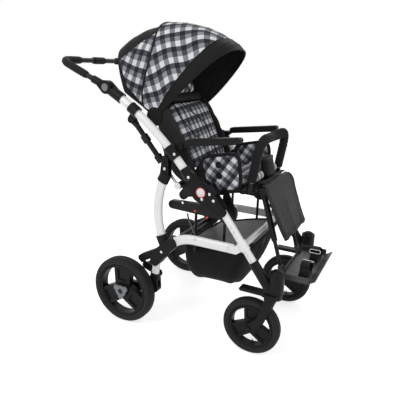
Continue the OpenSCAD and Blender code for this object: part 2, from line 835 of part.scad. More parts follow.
// rear legs
module leg_path(w, t) { bow2(leg_b, leg_a, leg_bow) stadium(w, t); }
leg_h = norm(leg_b - leg_a) / 2;
leg_arc_r = (leg_h * leg_h + leg_bow * leg_bow) / (2 * leg_bow);
leg_swing = asin(leg_h / leg_arc_r);
function turn2(v, a) = [v[0] * cos(a) - v[1] * sin(a), v[0] * sin(a) + v[1] * cos(a)];
leg_top_dir = turn2(-leg_dir, -leg_swing);
leg_low_dir = turn2(-leg_dir, leg_swing);
module rear_leg_tubes() { color("white") for (s = side) upright(s * frame_y) leg_path(oval_w, oval_t); }
module rear_leg_sockets() {
    w = oval_w + 2 * oval_wall;
    t = oval_t + 2 * oval_wall;
    top = leg_a + leg_top_dir * oval_wall;
    low = leg_b - leg_low_dir * oval_wall;
    color("dimgray") for (s = side) difference() {
        union() {
            upright(s * frame_y) run(top - leg_top_dir * leg_sleeve_len, top) stadium(w, t);
            for (k = side) flat(s * frame_y + k * (clevis_in + clevis_t / 2), clevis_t)
                taper2(leg_top_pivot, leg_a - leg_top_dir * oval_wall, ear_r, oval_w / 2);
            lateral(leg_top_pivot, s * frame_y - clevis_out, s * frame_y + clevis_out, pivot_pin_r);
            upright(s * frame_y) run(low, low + leg_low_dir * leg_sleeve_len) stadium(w, t);
            flat(s * frame_y, ear_t) taper2(rear, leg_b + leg_low_dir * oval_wall, ear_r, oval_w / 2);
        }
        upright(s * frame_y) leg_path(oval_w + 2 * fit_gap, oval_t + 2 * fit_gap);
    }
}

// rear frame
module arch_path(w, t) { path3(arch_a, arch_knee, arch_b, arch_bend_r) stadium(w, t); }
module arch_tubes() {
    color("white") for (s = side) difference() {
        union() {
            upright(s * frame_y) arch_path(oval_w, oval_t);
            flat(s * frame_y, ear_t + over) bar2(arch_pivot, arch_b - [ear_r, 0], 2 * ear_r);
        }
        lateral(arch_pivot, s * frame_y - ear_t, s * frame_y + ear_t, pivot_pin_r + run_gap);
        for (k = side) translate([0, k * (ear_t / 2 + oval_t / 2), 0]) flat(s * frame_y, oval_t)
            translate(arch_pivot) circle(r = ear_r + cross_collar_r);
        leg_room(s);
    }
}
arch_in = arch_a + [cos(arch_rise), sin(arch_rise)] * stub_sock;
stub_in = stub_top + stub_dir * stub_sock;
shoe_top = stub_low - stub_dir * stub_sock;
shoe_t = stub_t + 2 * oval_wall;
plate_at = shoe_top + stub_dir * (stub_sock / 2);
module bracket_casting(s) {
    difference() {
        union() {
            flat(s * frame_y, bracket_t) {
                taper2(rear, arch_in, bracket_r, oval_w / 2 + oval_wall);
                taper2(rear, stub_in, bracket_r, stub_w / 2 + oval_wall);
            }
            flat(s * frame_y, bump_t) bar2(beam_at, bump_at + [0, bump_h / 2], 2 * bump_r);
        }
        upright(s * frame_y) run(arch_a, arch_in) stadium(oval_w + 2 * fit_gap, oval_t + 2 * fit_gap);
        upright(s * frame_y) arch_path(oval_w + 2 * fit_gap, oval_t + 2 * fit_gap);
        upright(s * frame_y) run(stub_top, stub_low) stadium(stub_w + 2 * fit_gap, stub_t + 2 * fit_gap);
        leg_room(s);
    }
}
module leg_room(s) {
    flat(s * frame_y, oval_t + 2 * oval_wall + over_x2)
        taper2(rear, rear - leg_dir * leg_room_len, ear_r + leg_play, 2 * bracket_r);
}
module stub_shoe(s) {
    difference() {
        union() {
            upright(s * frame_y) run(shoe_top, stub_low + stub_dir * oval_wall)
                stadium(stub_w + 2 * oval_wall, shoe_t);
            for (k = side) flat(s * frame_y + k * (arm_in + arm_cheek_t / 2), arm_cheek_t)
                taper2(arm_pivot, stub_low, arm_r, stub_w / 2 + oval_wall - plate_sink);
        }
        upright(s * frame_y) run(shoe_top - stub_dir * over, stub_low)
            stadium(stub_w + 2 * fit_gap, stub_t + 2 * fit_gap);
    }
    lateral(arm_pivot, s * frame_y - arm_in, s * frame_y + arm_in, axle_r);
}
plate_pin = 0.6;
module brake_bearing(s) {
    difference() {
        flat(s * brake_plate_y, brake_plate_t) bar2(plate_at, brake_at, 2 * arm_r);
        lateral(brake_at, s * (brake_plate_y - 2 * brake_plate_t),
            s * (brake_plate_y + 2 * brake_plate_t), brake_shaft_r + run_gap);
    }
    lateral(plate_at, s * (brake_plate_y + brake_plate_t / 2),
        s * (frame_y - shoe_t / 2 + plate_sink), arm_r * plate_pin);
}
bump_share = 0.7;
module rear_brackets() {
    beam_y = frame_y - bracket_t / 2;
    color("dimgray") {
        lateral(beam_at, -beam_y, beam_y, beam_r);
        for (s = side) {
            bracket_casting(s);
            lateral(rear, s * (frame_y + bracket_t / 2), s * (frame_y + bracket_t / 2 + screw_t),
                2 * screw_r);
            stub_shoe(s);
            brake_bearing(s);
            translate([bump_at[0], s * frame_y, bump_at[1] - bump_h / 2])
                cylinder(h = bump_h / 2, r = bump_r * bump_share);
        }
    }
}
module rear_stubs() {
    color("white") for (s = side) upright(s * frame_y) run(stub_top, stub_low) stadium(stub_w, stub_t);
}
module swing_arm(s) {
    axle = [0, axle_z];
    color("dimgray") {
        difference() {
            flat(s * frame_y, arm_t) {
                taper2(arm_pivot, axle, arm_r, arm_boss_r);
            }
            lateral(arm_pivot, s * frame_y - arm_t, s * frame_y + arm_t, axle_r + run_gap);
        }
        lateral(axle, s * (frame_y + arm_t / 2), s * (wheel_hub_in - body_gap), 2 * axle_r);
        lateral(axle, s * (wheel_hub_in - over), s * (wheel_y + rear_hub_w / 2 + body_gap), axle_r);
        lateral(axle, s * (wheel_y + rear_hub_w / 2 + body_gap),
            s * (wheel_y + rear_hub_w / 2 + body_gap + axle_head_t), axle_head_r);
    }
}
module swing_arm_left() { swing_arm(1); }
module swing_arm_right() { swing_arm(-1); }

// wheels: a tyre of round section with tread grooves, a rim with three broad spokes
groove_w = 3;
groove_d = 2;
groove_shares = [-0.26, 0, 0.26];
tyre_round = 0.46;
module tyre_at(c, y, d, w, depth) {
    translate([c[0], y, c[1]]) rotate([90, 0, 0]) color("black") rotate_extrude() difference() {
        translate([d / 2 - depth / 2, 0]) round_rect(depth, w, depth * tyre_round);
        for (k = groove_shares) translate([d / 2, k * w]) square([2 * groove_d, groove_w], center = true);
    }
}
rim_t = 9;
rim_share = 0.74;
spoke_thick = 0.8;
spoke_root = 0.62;
spoke_end = 0.36;
spoke_ways = [90, 210, 330];
spoke_half = 60;
pocket_deep = 0.3;
pocket_lift = 0.4;
pocket_near = 0.8;
pocket_far = 0.84;
pocket_end = 0.22;
module rim_at(c, y, d, w, depth, bore, hub_w, hub_d) {
    r = d / 2 - depth - fit_gap;
    wide = w * rim_share;
    reach = r - rim_t / 2;
    root = hub_d * spoke_root;
    inner = root / (sin(spoke_half) - (spoke_end - root / r) * cos(spoke_half));
    near = [hub_d * pocket_near, hub_d * spoke_end];
    far = [r * pocket_far, r * pocket_end];
    translate([c[0], y, c[1]]) rotate([90, 0, 0]) color("dimgray") difference() {
        union() {
            rotate_extrude() translate([r - rim_t, -wide / 2]) square([rim_t, wide]);
            linear_extrude(height = wide * spoke_thick, center = true) intersection() {
                polygon([for (a = spoke_ways, k = [-1:1]) turn2(k < 0
                    ? [inner * cos(spoke_half), -inner * sin(spoke_half)]
                    : [r, (2 * k - 1) * r * spoke_end], a)]);
                circle(r = reach);
            }
            cylinder(h = hub_w, d = hub_d, center = true);
        }
        for (a = spoke_ways, k = side) rotate([0, 0, a]) translate([0, 0, k * wide * pocket_lift])
            linear_extrude(height = wide * pocket_deep, center = true)
                polygon([[near[0], -near[1]], [far[0], -far[1]], far, near]);
        cylinder(h = hub_w + over_x2, r = bore, center = true);
    }
}
rear_hub_d = 58;
front_hub_d = 42;
rear_axle_p = [0, axle_z];
front_axle_p = [front_axle_x, front_axle_z];
cap_t = 6;
cap_lobe_r = 13;
cap_lobe_at = 26;
cap_clear = 1;
cap_hole_r = axle_head_r + cap_clear;
cap_disc = 0.9;
cap_ways = [30, 150, 270];
module rear_tyre(s) { tyre_at(rear_axle_p, s * wheel_y, rear_wheel_d, rear_tyre_w, rear_tyre_depth); }
module rear_rim(s) {
    rim_at(rear_axle_p, s * wheel_y, rear_wheel_d, rear_tyre_w, rear_tyre_depth, axle_r + run_gap,
        rear_hub_w, rear_hub_d);
}
module rear_hubcap(s) {
    y = wheel_y + rear_hub_w / 2;
    color("gray") flat(s * (y + cap_t / 2), cap_t) translate(rear_axle_p) difference() {
        union() {
            circle(d = rear_hub_d * cap_disc);
            for (a = cap_ways) rotate(a) bar2([0, 0], [cap_lobe_at, 0], 2 * cap_lobe_r);
        }
        circle(r = cap_hole_r);
    }
}
module rear_tyre_left() { rear_tyre(1); }
module rear_tyre_right() { rear_tyre(-1); }
module rear_rim_left() { rear_rim(1); }
module rear_rim_right() { rear_rim(-1); }
module rear_hubcap_left() { rear_hubcap(1); }
module rear_hubcap_right() { rear_hubcap(-1); }
module front_tyre(s) {
    tyre_at(front_axle_p, s * caster_y, front_wheel_d, front_tyre_w, front_tyre_depth);
}
module front_rim(s) {
    rim_at(front_axle_p, s * caster_y, front_wheel_d, front_tyre_w, front_tyre_depth,
        fork_axle_r + run_gap, 2 * fork_in - 2 * body_gap, front_hub_d);
}
module front_tyre_left() { front_tyre(1); }
module front_tyre_right() { front_tyre(-1); }
module front_rim_left() { front_rim(1); }
module front_rim_right() { front_rim(-1); }

module brake_pedal() {
    y = brake_plate_y + brake_plate_t / 2 + over;
    color("dimgray") {
        lateral(brake_at, -y, y, brake_shaft_r);
        flat(0, pedal_w) taper2(brake_at, brake_at + [-pedal_len, -pedal_drop], brake_shaft_r + over,
            pedal_t / 2);
    }
}

// castors
fork_lead = 12;
fork_knee_share = 0.86;
fork_knee = front_axle_p + [46, 52];
fork_root = [head_x - fork_lead, crown_top - fork_top_r];
lock_at = [lock_x, lock_z];
lock_ear_t = 6;
lock_ear_y = lock_w / 2 + body_gap + lock_ear_t / 2;
module fork(s) {
    y = s * caster_y;
    color("dimgray") union() {
        translate([head_x, y, crown_low]) cylinder(h = crown_h, r = crown_front);
        translate([head_x - crown_back, y - fork_out, crown_low])
            cube([crown_back + crown_front / 2, 2 * fork_out, crown_h]);
        translate([head_x, y, crown_top - over]) cylinder(h = stem_h - over, r = stem_r);
        for (k = side) flat(y + k * (fork_in + fork_leg_t / 2), fork_leg_t) {
            taper2(fork_root, fork_knee, fork_top_r, fork_top_r * fork_knee_share);
            taper2(fork_knee, front_axle_p, fork_top_r * fork_knee_share, fork_low_r);
        }
        lateral(front_axle_p, y - fork_out - fork_nut_t, y + fork_out + fork_nut_t, fork_axle_r);
        for (k = side) lateral(front_axle_p, y + k * fork_out, y + k * (fork_out + fork_nut_t), fork_nut_r);
        for (k = side) flat(y + k * lock_ear_y, lock_ear_t)
            bar2(lock_at, [head_x - crown_back, lock_z], 2 * lock_ear_r);
        lateral(lock_at, y - lock_ear_y, y + lock_ear_y, lock_pin_r);
    }
}
module fork_left() { fork(1); }
module fork_right() { fork(-1); }
module swivel_lock(s) {
    y = s * caster_y;
    color("black") difference() {
        flat(y, lock_w) taper2(lock_at, lock_at - [lock_len, 0], lock_ear_r, lock_t / 2);
        lateral(lock_at, y - lock_w, y + lock_w, lock_pin_r + run_gap);
    }
}
module swivel_lock_left() { swivel_lock(1); }
module swivel_lock_right() { swivel_lock(-1); }

// seat unit, drawn in the seat's own slope about its tilt pivot
module seat_local() { translate([seat_pivot[0], 0, seat_pivot[1]]) rotate([0, -seat_slope, 0]) children(); }
rail_pin = 0.8;
rear_bar_share = 0.62;
module seat_rails() {
    r0 = [-rail_back, rail_up];
    r1 = [rail_front, rail_up];
    for (s = side) {
        upright(s * seat_y) run(r0, r1) circle(r = rail_r);
        flat(s * tilt_y, tilt_t) {
            taper2([0, 0], [0, rail_up], disc_r * rail_pin, rail_r);
            bar2(r0, [0, rail_up], 2 * rail_r);
            taper2(r0 + [rail_r, 0], recline_at, 2 * rail_r, recline_eye_r);
            taper2(recline_at, strut_pin_at, recline_eye_r, strut_eye_r);
        }
        lateral([0, rail_up], s * seat_y, s * tilt_in, rail_r * rail_pin);
        lateral(r0, s * seat_y, s * tilt_in, rail_r * rail_pin);
        lateral([0, 0], s * tilt_out, s * (carrier_out + body_gap), hub_pin_r);
        lateral(strut_pin_at, s * tilt_out, s * (strut_y - strut_eye_t / 2 - body_gap), strut_pin_r);
        lateral(recline_at, s * tilt_in, s * (back_y - back_eye_t), recline_pin_r);
        lateral(knee_at, s * (leg_y - knee_boss_r / 2), s * (leg_y - knee_boss_r / 2 - pan_t), knee_boss_r);
        flat(s * (leg_y - knee_boss_r / 2 - pan_t / 2), pan_t) bar2(knee_at, r1, 2 * rail_r);
        lateral(knee_at, s * (leg_y - knee_boss_r / 2), s * (leg_y + knee_boss_r / 2), knee_pin_r);
        translate([bumper_at[0], s * bumper_y, bumper_at[1]]) rotate([0, bumper_lean, 0])
            cylinder(h = bumper_sock_h, r = bumper_sock_r);
    }
    translate([seat_pad_mid, 0, rail_up + rail_r + (pan_t - over) / 2])
        cube([seat_depth - 2 * rail_r, 2 * seat_y, pan_t + over], center = true);
    lateral(r1, -seat_y, seat_y, rail_r);
    lateral([-rail_back * rear_bar_share, rail_up], -seat_y, seat_y, rail_r * rail_pin);
}
module seat_frame() {
    color("dimgray") seat_local() difference() {
        seat_rails();
        for (s = side) translate([bumper_at[0], s * bumper_y, bumper_at[1]]) rotate([0, bumper_lean, 0])
            translate([0, 0, over]) cylinder(h = 2 * bumper_sock_h, r = bumper_d / 2 + run_gap);
    }
}
pad_up = 0.8;
pad_low = 0.2;
seat_channels = [-0.36, 0.36];
back_channels = [-0.42, 0.42];
module seat_cushion() {
    color("gray") seat_local() difference() {
        translate([seat_pad_mid, 0, seat_pad_up + seat_thick * pad_low])
            rotate([0, 0, -90]) pillow(seat_width, seat_depth, seat_thick * pad_up, seat_thick * pad_low,
                18, 18, 0.02, 0.06, seat_channels, [], 0.22);
        for (s = side) translate([bumper_at[0], s * bumper_y, bumper_at[1]]) rotate([0, bumper_lean, 0])
            cylinder(h = bumper_h, r = bumper_pad_d / 2 + body_gap);
    }
}
module side_panels() {
    color("gray") for (s = side) seat_local() translate([panel_at[0], s * panel_y, panel_at[1]])
        rotate([90, 0, 0]) pillow(panel_l, panel_h, panel_t / 2, panel_t / 2, 14, 14, 0.03, 0.04, [], [], 0);
}
pommel_w = 78;
pommel_h = 104;
pommel_t = 40;
pommel_at = [104, 186.5];
module pommel() {
    color("black") seat_local() translate([pommel_at[0], 0, pommel_at[1]]) rotate([90, 0, 90])
        pillow(pommel_w, pommel_h, pommel_t / 2, pommel_t / 2, 10, 10, 0.03, 0.16, [], [], 0);
}

// tilt struts between the strut collars and the seat
strut_low = seat_pivot + turn2(strut_pin_at, seat_slope);
strut_dir = unit(strut_low - strut_top);
strut_len = norm(strut_low - strut_top);
strut_tube_share = 0.64;
strut_rod_r = 6;
strut_block_l = 34;
strut_block_w = 26;
strut_block_at = [0.24, 0.54];
module strut_cylinders() {
    a = strut_top + strut_dir * (ear_r + over);
    b = strut_top + strut_dir * strut_len * strut_tube_share;
    color("dimgray") for (s = side) difference() {
        union() {
            flat(s * strut_y, strut_eye_t)
                taper2(strut_top, strut_top + strut_dir * (2 * ear_r), ear_r, strut_r - plate_sink);
            upright(s * strut_y) run(a, b) circle(r = strut_r);
            for (k = strut_block_at) upright(s * strut_y)
                run(strut_top + strut_dir * (strut_len * k),
                    strut_top + strut_dir * (strut_len * k + strut_block_l))
                    square([strut_block_w, 2 * strut_r - over], center = true);
        }
        lateral(strut_top, s * (strut_y - 2 * strut_eye_t), s * (strut_y + 2 * strut_eye_t),
            pivot_pin_r + run_gap);
        upright(s * strut_y) run(strut_top + strut_dir * (ear_r + over_x2), b + strut_dir * over)
            circle(r = strut_rod_r + run_gap);
    }
}
strut_rod_in = 120;
module strut_rods() {
    a = strut_top + strut_dir * (strut_len * strut_tube_share - strut_rod_in);
    color("silver") for (s = side) {
        flat(s * strut_y, strut_eye_t) translate(strut_low) circle(r = strut_eye_r);
        upright(s * strut_y) run(a, strut_low) circle(r = strut_rod_r);
    }
}

// backrest, drawn along its own lean about the recline pivot
module back_local() { translate([back_pivot[0], 0, back_pivot[1]]) rotate([0, -back_lean, 0]) children(); }
panel_mid = 0.55;
panel_share = 0.78;
module back_frame() {
    color("dimgray") back_local() {
        difference() {
            union() {
                for (s = side) mirror([0, s > 0 ? 0 : 1, 0]) {
                    rotate([90, 0, 90]) path3([back_y, 0], [back_y, back_len], [0, back_len], back_bend)
                        circle(r = back_tube_r);
                    lateral([0, 0], back_y - back_eye_t, back_y + back_eye_t, recline_eye_r);
                    flat((back_y + back_tube_r - over + hood_w + lug_sink) / 2,
                        hood_w + lug_sink - back_y - back_tube_r + over) {
                        translate(hood_at) circle(r = hood_disc_r);
                        bar2(hood_at, [0, hood_at[1]], 2 * back_tube_r);
                    }
                }
                translate([(back_pad_fwd - lay_gap - pan_t / 2) / 2, 0, back_len * panel_mid])
                    cube([back_pad_fwd - lay_gap + pan_t / 2, 2 * back_y, back_len * panel_share],
                        center = true);
            }
            for (s = side) lateral([0, 0], s * (back_y - 2 * back_eye_t), s * (back_y + 2 * back_eye_t),
                recline_pin_r + run_gap);
        }
        for (s = side)
            lateral(hood_at, s * hood_w, s * (hood_front_w + hood_t + over), pivot_pin_r);
    }
}
module back_cushion() {
    color("gray") back_local()
        translate([back_pad_fwd + back_pad_t * pad_low, 0, back_pad_low + back_pad_h / 2])
        rotate([90, 0, 90]) pillow(back_pad_w, back_pad_h, back_pad_t * pad_up, back_pad_t * pad_low,
            18, 20, 0.03, 0.14, back_channels, [], 0.3);
}
module headrest() {
    color("gray") back_local() translate([back_pad_fwd + head_pad_t * pad_low, 0, head_pad_up])
        rotate([90, 0, 90]) pillow(head_pad_w, head_pad_h, head_pad_t * pad_up, head_pad_t * pad_low,
            14, 12, 0.04, 0.1, [], [], 0);
}

// hood: shells turned about the hood pivot, the front one closes over the rear one
module hood_outline(r, w, base) {
    polygon([for (i = [0:hood_steps]) let (t = 180 * i / hood_steps)
        [base + (r - base) * pow(abs(sin(t)), 2 / hood_power), -w * sign(cos(t)) * pow(abs(cos(t)), 2 / hood_power)]]);
}
module hood_front_of(by, deep) {
    flat(0, 2 * (hood_w + 2 * hood_t)) translate(hood_pivot) rotate(hood_back_lean)
        translate([-hood_back + by, -hood_r]) square([deep, 3 * hood_r]);
}
module hood_shell(r, w, from, span) {
    translate([hood_pivot[0], 0, hood_pivot[1]]) rotate([90, 0, 0]) rotate([0, 0, from])
        rotate_extrude(angle = span, $fn = 96) difference() {
            hood_outline(r + hood_t, w + hood_t, hood_base);
            hood_outline(r, w, hood_base - over);
        }
}
lug_rear_a = 118;
lug_rear_w = 30;
lug_front_by = 5;
lug_front_a = hood_visor_a + lug_front_by;
lug_front_w = 16;
lug_share = 1.3;
lug_sink = 0.6;
module hood_lugs(y, a, w, gap) {
    for (s = side) difference() {
        flat(s * (y + hood_t / 2), hood_t - 2 * lug_sink)
            bar2(hood_pivot, hood_pivot + [cos(a), sin(a)] * (hood_base * lug_share), w);
        lateral(hood_pivot, s * (y - hood_t), s * (y + 2 * hood_t), pivot_pin_r + gap);
    }
}
module hood_rear() {
    color("gray") {
        intersection() {
            hood_shell(hood_r, hood_w, hood_rear_a, hood_rear_span);
            hood_front_of(0, 2 * hood_r);
        }
        intersection() {
            translate([hood_pivot[0], 0, hood_pivot[1]]) rotate([90, 0, 0]) rotate([0, 0, hood_rear_a])
                rotate_extrude(angle = hood_rear_span, $fn = 96)
                    hood_outline(hood_r + hood_t / 2, hood_w + hood_t / 2, hood_base + over);
            hood_front_of(over, hood_t);
        }
        hood_lugs(hood_w, lug_rear_a, lug_rear_w, fit_gap);
    }
}
module hood_front() { color("gray") hood_shell(hood_front_r, hood_front_w, hood_front_a, hood_front_span); }
module hood_visor() {
    color("black") {
        hood_shell(hood_front_r, hood_front_w, hood_visor_a, hood_visor_span);
        hood_lugs(hood_front_w, lug_front_a, lug_front_w, run_gap);
    }
}

// armrests on the leg collars
module armrest(s) {
    color("dimgray") translate([arm_at[0], s * arm_y, arm_at[1]]) rotate([0, -arm_slope, 0]) difference() {
        union() {
            flat(0, arm_w) {
                taper2([0, 0], [arm_pad_from, arm_pad_up], arm_eye_r, arm_plate_t);
                bar2([arm_pad_from, arm_pad_up], [arm_len - arm_pad_t, arm_pad_up], arm_plate_t);
                translate([(arm_len + arm_pad_from) / 2, arm_pad_up + arm_pad_t / 2])
                    stadium(arm_len - arm_pad_from, arm_pad_t);
            }
        }
        lateral([0, 0], -arm_w, arm_w, arm_pin_r + run_gap);
    }
}
module armrest_left() { armrest(1); }
module armrest_right() { armrest(-1); }

// bumper bar with its padded sleeve
module bumper_local() {
    seat_local() translate([bumper_at[0], 0, bumper_at[1]]) rotate([0, bumper_lean, 0]) children();
}
module bumper_half(r, from, mid) {
    rotate([90, 0, 90]) path3([bumper_y, from], [bumper_y, bumper_h], [mid, bumper_h], bumper_bend)
        circle(r = r);
}
module bumper_bar() {
    color("silver") bumper_local() for (s = side) mirror([0, s > 0 ? 0 : 1, 0])
        bumper_half(bumper_d / 2, over_x2, 0);
}
module bumper_sleeve() {
    color("black") bumper_local() difference() {
        for (s = side) mirror([0, s > 0 ? 0 : 1, 0]) bumper_half(bumper_pad_d / 2, bumper_pad_up, 0);
        for (s = side) mirror([0, s > 0 ? 0 : 1, 0]) bumper_half(bumper_d / 2 + fit_gap, 0, -over);
    }
}

// legrest, drawn down its own lean from the knee
module leg_local() { translate([knee[0], 0, knee[1]]) rotate([0, -leg_lean, 0]) children(); }
bar_share = 0.72;
stay_share = 0.3;
bar_at = [0, -leg_tube_len * bar_share];
calf_stay = [0, -leg_tube_len * stay_share];
calf_seat = 0.88;
calf_back = calf_at[0] - (calf_stay[1] - calf_at[1]) * tan(calf_lean)
    - calf_t / 2 * calf_seat / cos(calf_lean) - lay_gap;
module legrest_frame() {
    color("dimgray") leg_local() difference() {
        union() {
            for (s = side) {
                translate([0, s * leg_y, -leg_tube_len])
                    cylinder(h = leg_tube_len - knee_boss_r - over, r = leg_tube_r);
                flat(s * (leg_y + body_gap / 2), knee_boss_r - body_gap)
                    bar2([0, 0], [0, -2 * knee_boss_r], 2 * leg_tube_r - over);
                lateral([0, 0], s * (leg_y - knee_boss_r / 2 + body_gap), s * (leg_y + knee_boss_r / 2),
                    knee_boss_r);
                flat(s * leg_y, leg_bar_r)
                    bar2(calf_stay, [calf_back - leg_bar_r, calf_stay[1]], 2 * leg_bar_r);
            }
            lateral(bar_at, -leg_y, leg_y, leg_bar_r);
        }
        for (s = side) {
            lateral([0, 0], s * (leg_y - 2 * knee_boss_r), s * (leg_y + 2 * knee_boss_r),
                knee_pin_r + run_gap);
            translate([0, s * leg_y, -leg_tube_len - over])
                cylinder(h = leg_tube_len - leg_tube_top + over, r = slide_r + run_gap);
        }
    }
}
module calf_pad() {
    color("black") leg_local() translate([calf_at[0], 0, calf_at[1]]) rotate([0, -calf_lean, 0])
        rotate([90, 0, 90]) pillow(calf_w, calf_l, calf_t / 2, calf_t / 2, 16, 14, 0.03, 0.03, [], [], 0);
}
module foot_slide() {
    color("dimgray") leg_local() for (s = side) {
        difference() {
            union() {
                translate([0, s * leg_y, -leg_len + foot_eye_r + over])
                    cylinder(h = leg_len - slide_top - foot_eye_r - over, r = slide_r);
                flat(s * leg_y, foot_eye_t)
                    bar2([0, -leg_len], [0, 2 * foot_eye_r - leg_len], 2 * slide_r - over);
                lateral([0, -leg_len], s * leg_y - foot_eye_t / 2, s * leg_y + foot_eye_t / 2, foot_eye_r);
            }
            lateral([0, -leg_len], s * leg_y - foot_eye_t, s * leg_y + foot_eye_t, foot_pin_r + run_gap);
        }
    }
}
rear_flange = 0.7;
module footplate() {
    lip0 = [foot_x1, foot_z];
    lip1 = lip0 + [cos(lip_rise), sin(lip_rise)] * lip_len;
    color("gray") difference() {
        union() {
            translate([foot_x0, -foot_width / 2, foot_z - foot_t]) cube([foot_len, foot_width, foot_t]);
            flat(0, foot_width)
                polygon([lip0 - [over, 0], lip0, lip1, lip1 + [sin(lip_rise), -cos(lip_rise)] * foot_t,
                    lip0 - [0, foot_t], lip0 - [over, foot_t]]);
            for (s = side) {
                translate([foot_x0, s * (foot_width / 2 - foot_t / 2) - foot_t / 2, foot_z - foot_t])
                    cube([foot_len, foot_t, foot_flange]);
                for (k = side) flat(s * leg_y + k * (foot_eye_t / 2 + body_gap + foot_t / 2), foot_t)
                    taper2(foot_hinge, [foot_x0 + foot_eye_r, foot_z - foot_t / 2], foot_eye_r - over / 2,
                        foot_t / 2);
                lateral(foot_hinge, s * leg_y - foot_eye_t / 2 - foot_t - body_gap,
                    s * leg_y + foot_eye_t / 2 + foot_t + body_gap, foot_pin_r);
            }
            translate([foot_x0, -leg_y + foot_eye_t + foot_t, foot_z - foot_t])
                cube([foot_t, 2 * (leg_y - foot_eye_t - foot_t), foot_flange * rear_flange]);
        }
        for (s = side, i = [0:2], j = side)
            translate([hole_x0 + i * hole_x_pitch, s * (hole_y + j * hole_y_pitch / 2), foot_z - 2 * foot_t])
                cylinder(h = 4 * foot_t, r = hole_r);
    }
}
strap_lift = 0.2;
module foot_straps() {
    color("black") for (s = side) translate([strap_x, s * strap_y, foot_z]) rotate([90, 0, 90])
        linear_extrude(height = strap_w, center = true) difference() {
            translate([0, strap_lift * strap_r]) circle(r = strap_r);
            translate([0, strap_lift * strap_r]) circle(r = strap_r - strap_t);
            translate([-2 * strap_r, -4 * strap_r]) square([4 * strap_r, 4 * strap_r]);
        }
}

placed() {
    front_tubes();
    front_cross_member();
    hub_cheeks();
    caster_heads();
    seat_carriers();
    basket();
    frame_screws();
    fold_sliders();
    upper_tubes();
    hub_tongues();
    tube_collars();
    handle_sockets();
    handle_bar();
    handle_grips();
    handle_knuckles();
    handle_button_left();
    handle_button_right();
    rear_leg_tubes();
    rear_leg_sockets();
    arch_tubes();
    rear_brackets();
    rear_stubs();
    swing_arm_left();
    swing_arm_right();
    rear_tyre_left();
    rear_rim_left();
    rear_hubcap_left();
    rear_tyre_right();
    rear_rim_right();
    rear_hubcap_right();
    brake_pedal();
    fork_left();
    fork_right();
    swivel_lock_left();
    swivel_lock_right();
    front_tyre_left();
    front_rim_left();
    front_tyre_right();
    front_rim_right();
    seat_frame();
    seat_cushion();
    side_panels();
    pommel();
    strut_cylinders();
    strut_rods();
    back_frame();
    back_cushion();
    headrest();
    hood_rear();
    hood_front();
    hood_visor();
    armrest_left();
    armrest_right();
    bumper_bar();
    bumper_sleeve();
    legrest_frame();
    calf_pad();
    foot_slide();
    footplate();
    foot_straps();
}
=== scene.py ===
import json
import math

import bmesh
import bpy
import numpy as np
from mathutils import Matrix, Vector

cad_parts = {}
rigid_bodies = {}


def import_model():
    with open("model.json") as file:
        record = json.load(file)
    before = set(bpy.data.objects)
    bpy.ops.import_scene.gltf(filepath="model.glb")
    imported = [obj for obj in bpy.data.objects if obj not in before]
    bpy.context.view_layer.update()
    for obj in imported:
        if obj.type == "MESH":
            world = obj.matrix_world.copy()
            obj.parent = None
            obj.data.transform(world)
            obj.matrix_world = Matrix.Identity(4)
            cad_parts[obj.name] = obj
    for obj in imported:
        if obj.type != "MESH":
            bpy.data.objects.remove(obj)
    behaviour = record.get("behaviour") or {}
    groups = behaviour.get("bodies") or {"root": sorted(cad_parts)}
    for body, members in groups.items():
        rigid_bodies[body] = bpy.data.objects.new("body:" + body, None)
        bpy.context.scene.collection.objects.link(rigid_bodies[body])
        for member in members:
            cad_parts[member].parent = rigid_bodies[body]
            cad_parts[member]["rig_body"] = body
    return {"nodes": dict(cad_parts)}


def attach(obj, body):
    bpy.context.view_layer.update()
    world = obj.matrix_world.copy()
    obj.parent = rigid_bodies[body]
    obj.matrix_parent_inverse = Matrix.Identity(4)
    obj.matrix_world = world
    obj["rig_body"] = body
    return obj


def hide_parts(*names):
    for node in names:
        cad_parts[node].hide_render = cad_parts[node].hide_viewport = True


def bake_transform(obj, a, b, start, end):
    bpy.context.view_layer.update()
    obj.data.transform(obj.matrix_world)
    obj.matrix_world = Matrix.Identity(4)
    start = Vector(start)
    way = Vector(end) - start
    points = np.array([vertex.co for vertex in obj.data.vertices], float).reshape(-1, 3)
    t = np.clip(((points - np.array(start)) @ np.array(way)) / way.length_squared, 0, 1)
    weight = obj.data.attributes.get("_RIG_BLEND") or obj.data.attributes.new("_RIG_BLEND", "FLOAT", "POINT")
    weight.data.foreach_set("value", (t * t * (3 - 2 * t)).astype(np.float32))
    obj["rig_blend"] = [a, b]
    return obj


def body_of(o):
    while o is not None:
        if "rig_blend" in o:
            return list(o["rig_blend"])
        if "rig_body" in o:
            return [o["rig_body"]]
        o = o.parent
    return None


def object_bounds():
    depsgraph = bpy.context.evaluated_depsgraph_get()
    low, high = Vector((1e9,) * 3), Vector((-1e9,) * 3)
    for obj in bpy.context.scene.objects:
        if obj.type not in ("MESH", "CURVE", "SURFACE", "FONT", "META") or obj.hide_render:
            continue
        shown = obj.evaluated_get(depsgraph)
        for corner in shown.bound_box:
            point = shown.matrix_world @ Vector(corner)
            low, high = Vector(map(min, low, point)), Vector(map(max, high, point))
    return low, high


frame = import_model()
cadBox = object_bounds()
scene = bpy.context.scene
nodes = frame["nodes"]
print("frame loaded:", len(nodes), "nodes")

# sizes are millimetres in the buggy's own frame, X from the rear axle; row() turns them into model metres
midX = 225.719
seatLean = 12.0
backLean = 25.5
bothSides = ((-1, "Right"), (1, "Left"))


def row(x, y, z):
    x, y, z = np.broadcast_arrays(np.asarray(x, float), np.asarray(y, float), np.asarray(z, float))
    return np.stack([x - midX, y, z], -1) / 1000


